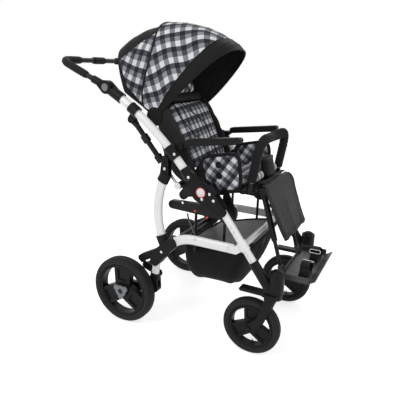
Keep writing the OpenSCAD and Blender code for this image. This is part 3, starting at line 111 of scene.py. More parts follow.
# the directions of a frame leaned back by an angle about Y: ahead in the side view, and up
def leanAxes(degrees):
    c = math.cos(math.radians(degrees))
    s = math.sin(math.radians(degrees))
    return np.array([c, 0, s]), np.array([-s, 0, c])


# a leaned frame: local a runs ahead and b up from (x0, z0)
def leaning(x0, z0, degrees):
    (c, _, s), _ = leanAxes(degrees)

    def place(a, y, b):
        a = np.asarray(a, float)
        b = np.asarray(b, float)
        return row(x0 + a * c - b * s, y, z0 + a * s + b * c)

    return place


onSeat = leaning(441, 553, seatLean)
onBack = leaning(258.422, 632.783, backLean)
alongSeat, upSeat = leanAxes(seatLean)
aheadBack, upBack = leanAxes(backLean)

# camera at the photograph's viewing angle
view = {"azimuth": 26.76, "elevation": 16.99, "roll": 1.59, "lens": 39.931, "sensor": 36.0,
        "at": (0.8665, -1.7313, 1.1155)}


# an object stood at a point, with its own X, Y and Z along three directions
def stand(obj, right, up, back, at):
    pose = np.eye(4)
    pose[:3] = np.stack([right, up, back, at], -1)
    obj.matrix_world = Matrix(pose.tolist())
    scene.collection.objects.link(obj)


def setCamera():
    az, el, ro = (math.radians(view[k]) for k in ("azimuth", "elevation", "roll"))
    right = np.array([math.cos(az), math.sin(az), 0])
    ahead = np.array([-math.sin(az) * math.cos(el), math.cos(az) * math.cos(el), -math.sin(el)])
    up = np.cross(right, ahead)
    eye = bpy.data.objects.new("eye", bpy.data.cameras.new("eye"))
    eye.data.lens = view["lens"]
    eye.data.sensor_width = view["sensor"]
    eye.data.sensor_fit = "HORIZONTAL"
    stand(eye, right * math.cos(ro) + up * math.sin(ro), up * math.cos(ro) - right * math.sin(ro),
          -ahead, view["at"])
    scene.camera = eye


setCamera()
scene.view_settings.view_transform = "Standard"
print("camera set")


# one socket of a shader; arithmetic on it adds Math nodes
class Sock:
    def __init__(self, tree, out):
        self.tree = tree
        self.out = out

    def node(self, kind, settings=None, inputs=None, out=0):
        made = self.tree.nodes.new(kind)
        for key, value in (settings or {}).items():
            if key == "stops":
                ramp = made.color_ramp
                ramp.interpolation = "CONSTANT"
                while len(ramp.elements) < len(value):
                    ramp.elements.new(0.5)
                for spot, (place, colour) in zip(ramp.elements, value):
                    spot.position = place
                    spot.color = (*colour, 1)
            else:
                setattr(made, key, value)
        for key, value in (inputs or {}).items():
            feed(self.tree, made.inputs[key], value)
        return Sock(self.tree, made.outputs[out])

    def math(self, operation, a, b=0.0):
        return self.node("ShaderNodeMath", {"operation": operation}, {0: a, 1: b})

    def __add__(self, other):
        return self.math("ADD", self, other)

    def __radd__(self, other):
        return self.math("ADD", other, self)

    def __sub__(self, other):
        return self.math("SUBTRACT", self, other)

    def __rsub__(self, other):
        return self.math("SUBTRACT", other, self)

    def __mul__(self, other):
        return self.math("MULTIPLY", self, other)

    def __rmul__(self, other):
        return self.math("MULTIPLY", other, self)

    def __gt__(self, other):
        return self.math("GREATER_THAN", self, other)

    def wave(self):
        return self.math("SINE", self)

    def fraction(self):
        return self.math("FRACT", self)


def feed(tree, socket, value):
    if isinstance(value, Sock):
        tree.links.new(value.out, socket)
    elif isinstance(value, (tuple, list)) and len(value) == 3 and len(socket.default_value) == 4:
        socket.default_value = (*value, 1)
    else:
        socket.default_value = value


def newFinish(name, coords="Object"):
    mat = bpy.data.materials.new(name)
    mat.use_nodes = True
    at = Sock(mat.node_tree, None).node("ShaderNodeTexCoord", out=coords)
    return mat, at


def shade(mat, sockets):
    shader = mat.node_tree.nodes["Principled BSDF"]
    for key, value in sockets.items():
        feed(mat.node_tree, shader.inputs[key], value)
    return mat


def noise(at, scale, detail=3.0, rough=0.55):
    return at.node("ShaderNodeTexNoise", None,
                   {"Vector": at, "Scale": scale, "Detail": detail, "Roughness": rough}, "Fac")


def mixed(at, share, a, b):
    return at.node("ShaderNodeMix", {"data_type": "RGBA"}, {0: share, 6: a, 7: b}, 2)


def bumped(at, height, strength, distance):
    return at.node("ShaderNodeBump", None,
                   {"Strength": strength, "Distance": distance, "Height": height}, "Normal")


def split(at):
    parts = at.node("ShaderNodeSeparateXYZ", None, {0: at})
    outs = parts.out.node.outputs
    return [Sock(at.tree, outs[i]) for i in range(3)]


# painted, moulded and plated finishes: two close tones by a noise, a wandering roughness, a fine grain
hardFinishes = {
    "white_paint": {"dark": (0.82, 0.82, 0.82), "pale": (0.90, 0.90, 0.90), "rough": (0.16, 0.30),
                    "patch": 9, "grain": 420, "bump": 0.05, "depth": 0.0004, "coat": 0.5},
    "black_plastic": {"dark": (0.0045, 0.0048, 0.0052), "pale": (0.0105, 0.011, 0.0115),
                      "rough": (0.34, 0.52), "patch": 26, "grain": 1500, "bump": 0.22, "depth": 0.0003,
                      "gloss": 0.13},
    "black_metal": {"dark": (0.004, 0.004, 0.0045), "pale": (0.009, 0.009, 0.0095), "rough": (0.26, 0.42),
                    "patch": 30, "grain": 900, "bump": 0.14, "depth": 0.0003, "gloss": 0.2},
    "grey_plastic": {"dark": (0.15, 0.155, 0.165), "pale": (0.21, 0.215, 0.225), "rough": (0.36, 0.5),
                     "patch": 34, "grain": 1300, "bump": 0.16, "depth": 0.0003},
    "bright_steel": {"dark": (0.46, 0.47, 0.48), "pale": (0.66, 0.67, 0.68), "rough": (0.18, 0.36),
                     "patch": 60, "grain": 700, "bump": 0.06, "depth": 0.0002, "metal": 1.0},
    "grey_plate": {"dark": (0.026, 0.026, 0.026), "pale": (0.046, 0.045, 0.044), "rough": (0.38, 0.56),
                   "patch": 22, "grain": 1100, "bump": 0.20, "depth": 0.0003},
    "red_plastic": {"dark": (0.62, 0.02, 0.015), "pale": (0.78, 0.04, 0.03), "rough": (0.3, 0.45),
                    "patch": 40, "grain": 1200, "bump": 0.1, "depth": 0.0002},
    "disc_white": {"dark": (0.74, 0.74, 0.74), "pale": (0.82, 0.82, 0.82), "rough": (0.3, 0.42),
                   "patch": 40, "grain": 900, "bump": 0.06, "depth": 0.0002},
}


def hardFinish(name):
    f = hardFinishes[name]
    mat, at = newFinish(name)
    patch = noise(at, f["patch"], 4)
    grain = noise(at, f["grain"], 2)
    low, high = f["rough"]
    return shade(mat, {
        "Base Color": mixed(at, patch, f["dark"], f["pale"]),
        "Roughness": low + (high - low) * (0.6 * patch + 0.4 * grain),
        "Metallic": f.get("metal", 0.0),
        "Coat Weight": f.get("coat", 0.0),
        "Coat Roughness": 0.12,
        "Specular IOR Level": f.get("gloss", 0.5),
        "Normal": bumped(at, grain, f["bump"], f["depth"]),
    })


finishes = {name: hardFinish(name) for name in hardFinishes}


# soft moulded finishes: fine cells as a bump, and two close tones by a noise
cellFinishes = {
    "foam": {"cells": 620, "patch": 30, "dark": (0.007, 0.0075, 0.0075), "pale": (0.016, 0.0165, 0.016),
             "rough": 0.58, "spread": 0.18, "bump": 0.35, "depth": 0.0006, "gloss": 0.14, "sheen": 0.03},
    "arm_skin": {"cells": 380, "patch": 24, "dark": (0.005, 0.005, 0.0055), "pale": (0.011, 0.011, 0.0115),
                 "rough": 0.34, "spread": 0.16, "bump": 0.16, "depth": 0.0004, "gloss": 0.16, "sheen": 0.0},
}


def cellFinish(name):
    f = cellFinishes[name]
    mat, at = newFinish(name)
    cells = at.node("ShaderNodeTexVoronoi", None, {"Vector": at, "Scale": f["cells"]}, "Distance")
    patch = noise(at, f["patch"], 4)
    return shade(mat, {
        "Base Color": mixed(at, patch, f["dark"], f["pale"]),
        "Roughness": f["rough"] + f["spread"] * patch,
        "Normal": bumped(at, cells, f["bump"], f["depth"]),
        "Specular IOR Level": f["gloss"],
        "Sheen Weight": f["sheen"],
    })


# rubber: sipes across the tread by the angle about the axle, faint rings on the wall, dust in the noise
def rubberFinish(name, centreX, centreZ, radius, sipes):
    mat, at = newFinish(name)
    x, y, z = split(at)
    dx = x - (centreX - midX) / 1000
    dz = z - centreZ / 1000
    turn = at.math("ARCTAN2", dz, dx)
    out = at.math("SQRT", dx * dx + dz * dz)
    tread = out > (radius - 9) / 1000
    bar = (turn * sipes + y * 420).wave()
    rings = (out * 2100).wave()
    dust = noise(at, 60, 5)
    return shade(mat, {
        "Base Color": mixed(at, dust, (0.009, 0.009, 0.0095), (0.022, 0.022, 0.022)),
        "Roughness": 0.52 + 0.24 * dust,
        "Normal": bumped(at, tread * bar + (1 - tread) * rings * 0.25 + dust * 0.4, 0.5, 0.0012),
        "Specular IOR Level": 0.18,
    })


# woven check on the piece's own cloth map: three rows, pale, mid and dark, crossed by two columns
checkCloth = {"row": 66.0, "column": 41.0, "onPads": 1.2,
              "paleRows": [(0.0, (0.74, 0.74, 0.76)), (0.36, (0.27, 0.28, 0.30)),
                           (0.68, (0.062, 0.068, 0.081))],
              "darkRows": [(0.0, (0.22, 0.23, 0.255)), (0.36, (0.045, 0.050, 0.060)),
                           (0.68, (0.005, 0.006, 0.011))]}


def checkFinish():
    mat, at = newFinish("check_fabric", "UV")
    u, v, _ = split(at)
    wander = noise(at, 14, 3) - 0.5
    rowAt = (u * (1000 / checkCloth["row"]) + wander * 0.07).fraction()
    column = (v * (1000 / checkCloth["column"]) + wander * 0.09).fraction() > 0.5
    fade = noise(at, 60, 4)
    threads = (u * 5200).wave() * (v * 5200).wave()
    slub = noise(at.node("ShaderNodeMapping", None, {0: at, 3: (30, 700, 1)}), 1.0, 2)
    pale = at.node("ShaderNodeValToRGB", {"stops": checkCloth["paleRows"]}, {0: rowAt})
    deep = at.node("ShaderNodeValToRGB", {"stops": checkCloth["darkRows"]}, {0: rowAt})
    cloth = mixed(at, column, pale, deep)
    worn = mixed(at, 0.03 * fade + 0.03 * slub, cloth, (0.30, 0.31, 0.34))
    return shade(mat, {
        "Base Color": worn,
        "Roughness": 0.72 + 0.16 * fade,
        "Normal": bumped(at, threads * 0.5 + slub * 0.5, 0.35, 0.0004),
        "Specular IOR Level": 0.2,
        "Sheen Weight": 0.04,
    })


# plain cloths: a fine over-and-under weave, soft creases from a noise, and painted shade: the colour darkens
# in the hollows of the creases
plainCloths = {
    "black_fabric": {"dark": (0.005, 0.005, 0.0055), "pale": (0.012, 0.012, 0.013),
                     "rough": 0.55, "crease": 0.6, "weave": 5200},
    "black_vinyl": {"dark": (0.010, 0.011, 0.013), "pale": (0.019, 0.020, 0.023),
                    "rough": 0.40, "crease": 0.4, "weave": 6200},
    "lining": {"dark": (0.012, 0.012, 0.0125), "pale": (0.026, 0.026, 0.027),
               "rough": 0.42, "crease": 1.3, "weave": 5200},
    "webbing": {"dark": (0.005, 0.005, 0.0055), "pale": (0.011, 0.011, 0.012),
                "rough": 0.6, "crease": 0.2, "weave": 2600},
    "wing_cloth": {"dark": (0.008, 0.0078, 0.0075), "pale": (0.022, 0.021, 0.020),
                   "rough": 0.34, "crease": 1.6, "weave": 5200},
    "basket_cloth": {"dark": (0.0035, 0.0035, 0.004), "pale": (0.009, 0.009, 0.010),
                     "rough": 0.58, "crease": 0.7, "weave": 3600},
    # basket lining: a grey cloth, its colour painted much paler than the cloth is, as painted light on the
    # bag's shaded inside
    "basket_lining": {"dark": (0.42, 0.425, 0.43), "pale": (0.52, 0.525, 0.53),
                      "rough": 0.6, "crease": 0.5, "weave": 3600},
}


def plainCloth(name):
    f = plainCloths[name]
    mat, at = newFinish(name)
    x, y, z = split(at)
    threads = ((x + z) * f["weave"]).wave() * ((y - z) * f["weave"]).wave()
    folds = noise(at, 16, 4, 0.6)
    patch = noise(at, 70, 3)
    return shade(mat, {
        # painted shade: the base colour follows the crease noise, darker in the crease hollows
        "Base Color": mixed(at, 0.6 * patch + 0.4 * folds, f["dark"], f["pale"]),
        "Roughness": f["rough"] + 0.2 * patch,
        "Normal": bumped(at, threads * 0.12 + folds * f["crease"], 0.4, 0.004),
        "Specular IOR Level": 0.14,
        "Sheen Weight": 0.02,
        "Sheen Roughness": 0.4,
    })


finishes.update({name: cellFinish(name) for name in cellFinishes})
finishes.update({name: plainCloth(name) for name in plainCloths})
finishes["check_fabric"] = checkFinish()
print("finishes made:", len(finishes))

wheels = {"rear": {"x": 0.0, "z": 150.0, "r": 150.0, "y": 290.0, "sipes": 150},
          "front": {"x": 585.589, "z": 119.0, "r": 119.0, "y": 236.0, "sipes": 120}}
for place, w in wheels.items():
    finishes[place + "_rubber"] = rubberFinish(place + "_rubber", w["x"], w["z"], w["r"], w["sipes"])

# every solid that stays in sight takes its finish by the slot that the record gives it
for name, solid in nodes.items():
    wanted = solid.data.materials[0].name.split(".")[0]
    if "tyre" in name:
        wanted = name.split("_")[0] + "_rubber"
    if name.startswith("armrest"):
        wanted = "arm_skin"
    for i in range(len(solid.data.materials)):
        solid.data.materials[i] = finishes[wanted]
print("solids painted")


# a grid of points as a quad mesh; rows and columns that meet are merged, so seams and poles close
def surface(name, points, finish, uv=None, merge=True, outward=True, flip=False):
    rows, cols = points.shape[:2]
    i, j = np.meshgrid(np.arange(rows - 1), np.arange(cols - 1), indexing="ij")
    corner = i * cols + j
    quads = np.stack([corner, corner + cols, corner + cols + 1, corner + 1], -1).reshape(-1, 4)
    if flip:
        quads = quads[:, ::-1]
    mesh = bpy.data.meshes.new(name)
    mesh.vertices.add(rows * cols)
    mesh.vertices.foreach_set("co", points.reshape(-1).astype(np.float32))
    mesh.loops.add(quads.size)
    mesh.loops.foreach_set("vertex_index", quads.reshape(-1).astype(np.int32))
    mesh.polygons.add(len(quads))
    mesh.polygons.foreach_set("loop_start", np.arange(len(quads), dtype=np.int32) * 4)
    mesh.update(calc_edges=True)
    if uv is not None:
        layer = mesh.uv_layers.new(name="cloth")
        layer.data.foreach_set("uv", uv.reshape(-1, 2)[quads.reshape(-1)].reshape(-1).astype(np.float32))
    obj = bpy.data.objects.new(name, mesh)
    scene.collection.objects.link(obj)
    if merge:
        tidyMesh(mesh, outward)
    mesh.materials.append(finishes[finish])
    smooth(mesh)
    return obj


def tidyMesh(mesh, outward):
    work = bmesh.new()
    work.from_mesh(mesh)
    bmesh.ops.remove_doubles(work, verts=work.verts, dist=1e-6)
    bmesh.ops.dissolve_degenerate(work, edges=work.edges, dist=1e-7)
    if outward:
        bmesh.ops.recalc_face_normals(work, faces=work.faces)
    work.to_mesh(mesh)
    work.free()


def smooth(mesh):
    mesh.polygons.foreach_set("use_smooth", np.ones(len(mesh.polygons), bool))
    mesh.update()


# an open form faces away from a point inside it
def faceOut(obj, inside):
    faces = obj.data.polygons
    middle = np.empty(len(faces) * 3, np.float32)
    normal = np.empty(len(faces) * 3, np.float32)
    faces.foreach_get("center", middle)
    faces.foreach_get("normal", normal)
    if ((middle.reshape(-1, 3) - inside) * normal.reshape(-1, 3)).sum() < 0:
        obj.data.flip_normals()


def addModifier(obj, kind, **settings):
    made = obj.modifiers.new(kind.lower(), kind)
    for key, value in settings.items():
        setattr(made, key, value)
    return made


def settle(obj):
    bpy.context.view_layer.objects.active = obj
    obj.select_set(True)
    for made in list(obj.modifiers):
        bpy.ops.object.modifier_apply(modifier=made.name)
    obj.select_set(False)
    smooth(obj.data)


def coords(obj):
    flat = np.empty(len(obj.data.vertices) * 3, np.float32)
    obj.data.vertices.foreach_get("co", flat)
    return flat.reshape(-1, 3).astype(float)


def setCoords(obj, points):
    obj.data.vertices.foreach_set("co", points.reshape(-1).astype(np.float32))
    obj.data.update()


# a smooth line through a few points: cubics, with half the step between a point's neighbours as its slope
def through(points, count):
    p = np.asarray(points, float)
    ends = np.vstack([2 * p[0] - p[1], p, 2 * p[-1] - p[-2]])
    where = np.linspace(0, len(p) - 1, count)
    k = np.clip(where.astype(int), 0, len(p) - 2)
    t = (where - k)[:, None]
    a, b, c, d = ends[k], ends[k + 1], ends[k + 2], ends[k + 3]
    return 0.5 * (2 * b + (c - a) * t + (2 * a - 5 * b + 4 * c - d) * t ** 2
                  + (3 * b - a - 3 * c + d) * t ** 3)


def evenly(path, count):
    along = np.concatenate([[0], np.cumsum(np.linalg.norm(np.diff(path, axis=0), axis=1))])
    want = np.linspace(0, along[-1], count)
    return np.stack([np.interp(want, along, path[:, i]) for i in range(path.shape[1])], -1)


# an outline carried along a path: each ring is the path point plus the outline in the plane across the path
def sweep(name, path, outline, finish, side=(0, 1, 0), scale=None, closed=False, rounded=0.0):
    path = np.asarray(path, float)
    if closed:
        path = np.vstack([path, path[:1]])
    ahead = np.gradient(path, axis=0)
    if closed:
        ahead[0] = ahead[-1] = path[1] - path[-2]
    ahead /= np.linalg.norm(ahead, axis=1)[:, None]
    across = np.cross(ahead, np.asarray(side, float))
    across /= np.linalg.norm(across, axis=1)[:, None]
    level = np.cross(across, ahead)
    size = np.ones(len(path)) if scale is None else np.asarray(scale, float)
    if not closed:
        # the ends close in a low dome: rings that shrink on a quarter circle
        turn = np.radians([0, 30, 60])
        path = np.vstack([path[0] - ahead[0] * rounded * np.cos(turn)[:, None], path,
                          path[-1] + ahead[-1] * rounded * np.cos(turn[::-1])[:, None]])
        across = np.vstack([across[[0] * 3], across, across[[-1] * 3]])
        level = np.vstack([level[[0] * 3], level, level[[-1] * 3]])
        size = np.concatenate([size[0] * np.sin(turn), size, size[-1] * np.sin(turn[::-1])])
    ring = np.vstack([outline, outline[:1]])
    points = (path[:, None] + size[:, None, None]
              * (across[:, None] * ring[None, :, :1] + level[:, None] * ring[None, :, 1:]))
    return surface(name, points, finish)


def circle(radius, sides=14):
    t = np.linspace(0, 2 * np.pi, sides, endpoint=False)
    return np.stack([np.cos(t), np.sin(t)], -1) * radius


# a power that keeps the sign: it blunts a cosine or sine towards a square
def blunt(value, p):
    return np.sign(value) * np.abs(value) ** p


# a loop of points on a rounded square of half size one
def roundedLoop(count, p):
    t = np.linspace(0, 2 * np.pi, count, endpoint=False)
    return blunt(np.cos(t), p), blunt(np.sin(t), p)


# a flat strap's outline: a superellipse, nearly a rectangle with soft edges
def band(wide, thick, sides=20):
    t = np.linspace(0, 2 * np.pi, sides, endpoint=False)
    return np.stack([blunt(np.cos(t), 0.5) * thick, blunt(np.sin(t), 0.25) * wide], -1) / 2000


def tube(name, path, radius, finish, side=(0, 1, 0), sides=14, scale=None, closed=False, rounded=0.0):
    return sweep(name, path, circle(radius, sides), finish, side, scale, closed, rounded)


# a round piece turned about an axis: profile of (radius, along) pairs carried round the axis
def turned(name, centre, axis, profile, finish, sides=40):
    axis = np.asarray(axis, float)
    axis /= np.linalg.norm(axis)
    other = np.cross(axis, (0.31, 0.17, 0.93))
    other /= np.linalg.norm(other)
    third = np.cross(axis, other)
    t = np.linspace(0, 2 * np.pi, sides + 1)
    p = np.asarray(profile, float)
    ring = np.cos(t)[:, None] * other + np.sin(t)[:, None] * third
    points = np.asarray(centre) + p[:, None, 1:] * axis + p[:, None, :1] * ring[None]
    return surface(name, points, finish)


# a pillow: cos and sin with powers give a rounded block, pulled in along its sides, its front crowned
def pillow(name, place, wide, long, thick, finish, corner, edge, pull, crown):
    a = np.linspace(0, 2 * np.pi, 97)[None]
    b = np.linspace(-np.pi / 2, np.pi / 2, 41)[:, None]
    u = blunt(np.cos(a), corner) * blunt(np.cos(b), edge)
    v = blunt(np.sin(a), corner) * blunt(np.cos(b), edge)
    w = blunt(np.sin(b), edge) + 0 * a
    y = wide / 2 * u * (1 - pull * (1 - v ** 2))
    x = long / 2 * v * (1 - pull * (1 - u ** 2))
    full = (1 - u ** 2) * (1 - v ** 2)
    z = np.where(w > 0, w * thick * 0.5 + crown * full, w * thick * 0.5)
    return surface(name, place(x, y, z), finish)


# padded cloth: the closed form is remeshed and blown up by Blender's cloth, no point moving past the cap
blow = {"voxel": 5.0, "pressure": 4.0, "quality": 5, "mass": 0.3, "frames": 20}


def blowUp(obj, cap):
    remesh = addModifier(obj, "REMESH", mode="VOXEL", voxel_size=blow["voxel"] / 1000)
    remesh.use_smooth_shade = True
    settle(obj)
    rest = coords(obj)
    cloth = addModifier(obj, "CLOTH")
    cloth.settings.use_pressure = True
    cloth.settings.uniform_pressure_force = blow["pressure"]
    cloth.settings.effector_weights.gravity = 0
    cloth.settings.quality = blow["quality"]
    cloth.settings.mass = blow["mass"]
    cloth.point_cache.frame_start = 1
    cloth.point_cache.frame_end = blow["frames"]
    for step in range(1, blow["frames"] + 1):
        scene.frame_set(step)
    seen = obj.evaluated_get(bpy.context.evaluated_depsgraph_get())
    flat = np.empty(len(rest) * 3, np.float32)
    seen.data.vertices.foreach_get("co", flat)
    moved = flat.reshape(-1, 3) - rest
    obj.modifiers.remove(cloth)
    far = np.linalg.norm(moved, axis=1)[:, None]
    setCoords(obj, rest + moved * np.minimum(1, cap / 1000 / np.maximum(far, 1e-9)))
    scene.frame_set(1)
    smooth(obj.data)


# the cloth map of a padded piece: each corner's place in the piece's own two directions, turned by an angle
def mapCloth(obj, origin, along, across, degrees):
    c = math.cos(math.radians(degrees))
    s = math.sin(math.radians(degrees))
    p = coords(obj) - np.asarray(origin)
    u = p @ np.asarray(along)
    v = p @ np.asarray(across)
    both = np.stack([u * c - v * s, u * s + v * c], -1) * checkCloth["onPads"]
    corners = np.empty(len(obj.data.loops), np.int32)
    obj.data.loops.foreach_get("vertex_index", corners)
    layer = obj.data.uv_layers.get("cloth") or obj.data.uv_layers.new(name="cloth")
    layer.data.foreach_set("uv", both[corners].reshape(-1).astype(np.float32))


def subdivide(obj):
    addModifier(obj, "SUBSURF", levels=1, render_levels=1)


def dress(obj, body, slot, *replaced):
    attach(obj, body)
    if replaced:
        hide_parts(*replaced)
    return obj


# flat area of a grid of points, from the cross products of each cell's diagonals
def gridArea(p):
    across = np.cross(p[1:, 1:] - p[:-1, :-1], p[1:, :-1] - p[:-1, 1:])
    return float(np.linalg.norm(across, axis=-1).sum() / 2)


def asSheet(points):
    area = gridArea(points)


# a wall of cloth behind a surface, its inside and rim in a later material
def wallIn(obj, thick, offset):
    addModifier(obj, "SOLIDIFY", thickness=thick / 1000, offset=-1, material_offset=offset,
                material_offset_rim=offset)


# brake cable: leaves the seat carrier's underside and runs down behind the arch tube
cable = {"diameter": 7.0,
         "route": [(272, -215, 530.5), (275, -215.5, 516), (283, -218, 499), (295, -223, 482),
                   (307, -228.5, 466), (316, -232, 454), (321, -234, 447)]}


def cableFinish():
    mat, at = newFinish("cable_sleeve")
    x, y, z = split(at)
    twist = ((x * 0.7 - z) * 900 + y * 500).wave()
    worn = noise(at, 240, 3)
    return shade(mat, {
        "Base Color": mixed(at, twist * 0.5 + 0.5, (0.012, 0.012, 0.013), (0.085, 0.086, 0.088)),
        "Roughness": 0.34 + 0.2 * worn,
        "Normal": bumped(at, twist, 0.5, 0.0008),
    })


finishes["cable_sleeve"] = cableFinish()
cablePath = evenly(through(row(*np.array(cable["route"]).T), 200), 33)
brakeCable = tube("brakeCable", cablePath, cable["diameter"] / 2000, "cable_sleeve", sides=16)
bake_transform(brakeCable, "chassis", "rear_frame", start=cablePath[0].tolist(), end=cablePath[-1].tolist())


# hood: bows fan out about the pivot, and each sheet is stretched between two of them
hood = {"pivot": (100.719, 907.668), "base": 34.0, "columns": 161, "wallBack": 114.0, "wallLean": 22.0,
        "wallFar": 150.0, "wallThick": 1.6, "wallBelly": 0.012, "flapY": 196.0,
        "flap": [(0.1, 1.6), (14, 1.5), (30, 1.0), (36, 0.2), (38, -1.0), (37, -2.0), (0.1, -2.0)],
        "rear": {"rows": 41, "top": (363.0, 363.0), "half": (183.5, 183.5), "power": (3.1, 3.4),
                 "sag": 3.0, "folds": 0.9, "thick": 2.2, "tilt": -24.0},
        "front": {"rows": 45, "top": (371.5, 381.0), "half": (194.0, 194.5), "power": (3.15, 2.85),
                  "sag": 2.5, "folds": 0.9, "thick": 2.2, "tilt": 13.0},
        "visor": {"rows": 23, "top": (381.5, 387.0), "half": (195.0, 196.0), "power": (2.85, 2.65),
                  "sag": -6.0, "folds": 0.5, "thick": 2.4}}
# seams: degrees about the pivot on top, and the swing that grows from reach far over the span below it
seams = {"middle": {"at": 94.0, "swing": 52.0, "far": 371.0, "span": 308.0, "power": 3.5},
         "visor": {"at": 53.5, "swing": 7.0, "far": 370.0, "span": 310.0, "power": 2.2},
         "edge": {"at": 43.9, "swing": -5.5, "far": 380.0, "span": 320.0, "power": 2.5}}


# one bow: y and reach r on a superellipse over the head, spaced evenly along its length
def bow(top, half, power):
    t = np.linspace(0, np.pi, 1441)
    y = -half * blunt(np.cos(t), 2 / power)
    r = hood["base"] + (top - hood["base"]) * np.abs(np.sin(t)) ** (2 / power)
    return evenly(np.stack([y, r], -1), hood["columns"])


def fanPoint(y, r, degrees):
    t = np.radians(degrees)
    return row(hood["pivot"][0] + r * np.cos(t), y, hood["pivot"][1] + r * np.sin(t))


def seamAngle(name, more=0.0):
    s = seams[name]
    return lambda r: s["at"] + more + s["swing"] * np.clip((s["far"] - r) / s["span"], 0, 1) ** s["power"]


# the rear sheet ends on the wall's plane, or at a set angle where the plane is out of reach
def wallAngle(r):
    reach = np.arccos(np.clip(-hood["wallBack"] / np.maximum(r, 1), -1, 1))
    return np.minimum(hood["wallLean"] + np.degrees(reach), hood["wallFar"])


# a sheet between two bows: reach and width blend, the middle sags and soft folds run to the pivot
def fanSheet(spec, start, end):
    f = np.linspace(0, 1, spec["rows"])
    between = [[a + (b - a) * k for a, b in (spec["top"], spec["half"], spec["power"])] for k in f]
    grid = np.stack([bow(*sizes) for sizes in between])
    y, r = grid[..., 0], grid[..., 1]
    s = np.linspace(0, 1, hood["columns"])[None]
    k = f[:, None]
    degrees = start(r) + (end(r) - start(r)) * k
    high = np.clip((r - 90) / 250, 0, 1)
    dip = spec["sag"] * np.sin(np.pi * k) * high
    wave = np.sin(6.5 * np.pi * k + 9 * s + 2 * np.sin(13 * s)) + 0.6 * np.sin(23 * s + 4 * k)
    shrink = (dip + spec["folds"] * np.sin(np.pi * k) * wave * (0.3 + high)) / 340
    return y * (1 - shrink), 130 + (r - 130) * (1 - shrink), degrees


# cloth map: across the seam bow by sine of the angle from it, along by arc length, with a little drift
def fanMap(y, r, degrees, tilt):
    step = np.hypot(np.diff(y, axis=1), np.diff(r, axis=1))
    s = np.concatenate([np.zeros((len(y), 1)), np.cumsum(step, 1)], 1)
    turn = np.radians(98.0 - degrees)
    reach = np.where(y < 0, r, 2 * r.max() - r)
    u = s + reach * (np.cos(turn) - 1)
    v = reach.clip(0, r.max()) * np.sin(turn)
    u = u + 5 * np.sin(v / 42 + s / 60) + 2 * np.sin(v / 19)
    c = math.cos(math.radians(tilt))
    d = math.sin(math.radians(tilt))
    return np.stack([u * c - v * d, u * d + v * c], -1) / 1000


def hoodSheet(name, part, start, end, cloths, body, flip=False):
    spec = hood[part]
    y, r, degrees = fanSheet(spec, start, end)
    points = fanPoint(y, r, degrees)
    uv = fanMap(y, r, degrees, spec["tilt"]) if "tilt" in spec else None
    sheet = surface(name, points, cloths[0], uv, merge=False, flip=flip)
    for cloth in cloths[1:]:
        sheet.data.materials.append(finishes[cloth])
    wallIn(sheet, spec["thick"], len(cloths) - 1)
    dress(sheet, body, cloths[0], "hood_" + part)
    asSheet(points)
    return sheet, points


def edgeLine(name, points, radius, body, finish="black_fabric"):
    line = tube(name, points[1:-1], radius / 1000, finish, side=(0.35, 0, 0.94), sides=10,
                rounded=radius / 1000)
    dress(line, body, "black_fabric")


# an edge drawn in towards the middle and moved, so that it lies inside the cloth
def within(line, share, move):
    return line * np.array([1, share, 1]) + np.array(move)


def makeHood():
    # rear part: check on both sides, black over the top and along the rear bow
    rear, points = hoodSheet("hoodRear", "rear", seamAngle("middle", -4.0), wallAngle,
                             ("check_fabric", "black_fabric", "lining"), "back", flip=True)
    rows, cols = points.shape[:2]
    k = (np.arange(rows - 1)[:, None] + 0.5) / (rows - 1)
    s = np.abs((np.arange(cols - 1)[None] + 0.5) / (cols - 1) - 0.5)
    low = np.clip((s - 0.2) / 0.22, 0, 1)
    black = (s < 0.13 + 0.19 * k - 0.115 * k ** 2) | (k > 0.95 - 0.17 * low)
    rear.data.polygons.foreach_set("material_index", black.reshape(-1).astype(np.int32))
    edgeLine("hoodRearBinding", within(points[-1], 0.985, (0.002, 0, -0.003)), 2.2, "back")

    # rear wall: the rear bow filled across, bellied out a little
    line = points[-1]
    foot = line[[0, -1]].mean(0)
    q = np.linspace(0, 1, 25)[:, None, None]
    flat = np.stack([0 * line[:, 0] + foot[0], line[:, 1], 0 * line[:, 2] + foot[2]], -1)[None]
    share = line[None, :, 1] / np.abs(line[:, 1]).max()
    belly = hood["wallBelly"] * np.sin(np.pi * q[..., 0]) * (1 - share ** 2)
    belly = belly * (1 + 0.15 * np.sin(line[None, :, 1] * 55))
    wallPoints = flat + (line[None] - flat) * q - belly[..., None] * leanAxes(hood["wallLean"])[0]
    wall = surface("hoodBackWall", wallPoints, "black_fabric")
    wall.data.materials.append(finishes["lining"])
    wallIn(wall, hood["wallThick"], 1)
    dress(wall, "back", "black_fabric")
    asSheet(wallPoints)

    # front part, hinged at the pivot, drawn over the rear part
    _, points = hoodSheet("hoodFront", "front", seamAngle("middle"), seamAngle("visor"),
                          ("check_fabric", "lining"), "hood")
    edgeLine("hoodSeamPiping", points[0], 3.6, "hood")
    edgeLine("hoodInnerBow", within(points[-1], 0.984, (-0.002, 0, -0.0036)), 1.4, "hood", "black_vinyl")

    _, points = hoodSheet("hoodVisor", "visor", seamAngle("visor", 0.4), seamAngle("edge"),
                          ("black_fabric", "lining"), "hood")
    edgeLine("visorHem", points[-1], 3.0, "hood")
    edgeLine("visorPiping", points[0], 2.2, "hood")
    # round flaps over the pivots
    for side, name in bothSides:
        at = row(hood["pivot"][0], side * hood["flapY"], hood["pivot"][1])
        cover = turned("hoodFlap" + name, at, (0, side, 0), np.array(hood["flap"]) / 1000, "black_fabric", 48)
        dress(cover, "hood", "black_fabric")


makeHood()
print("hood sewn")


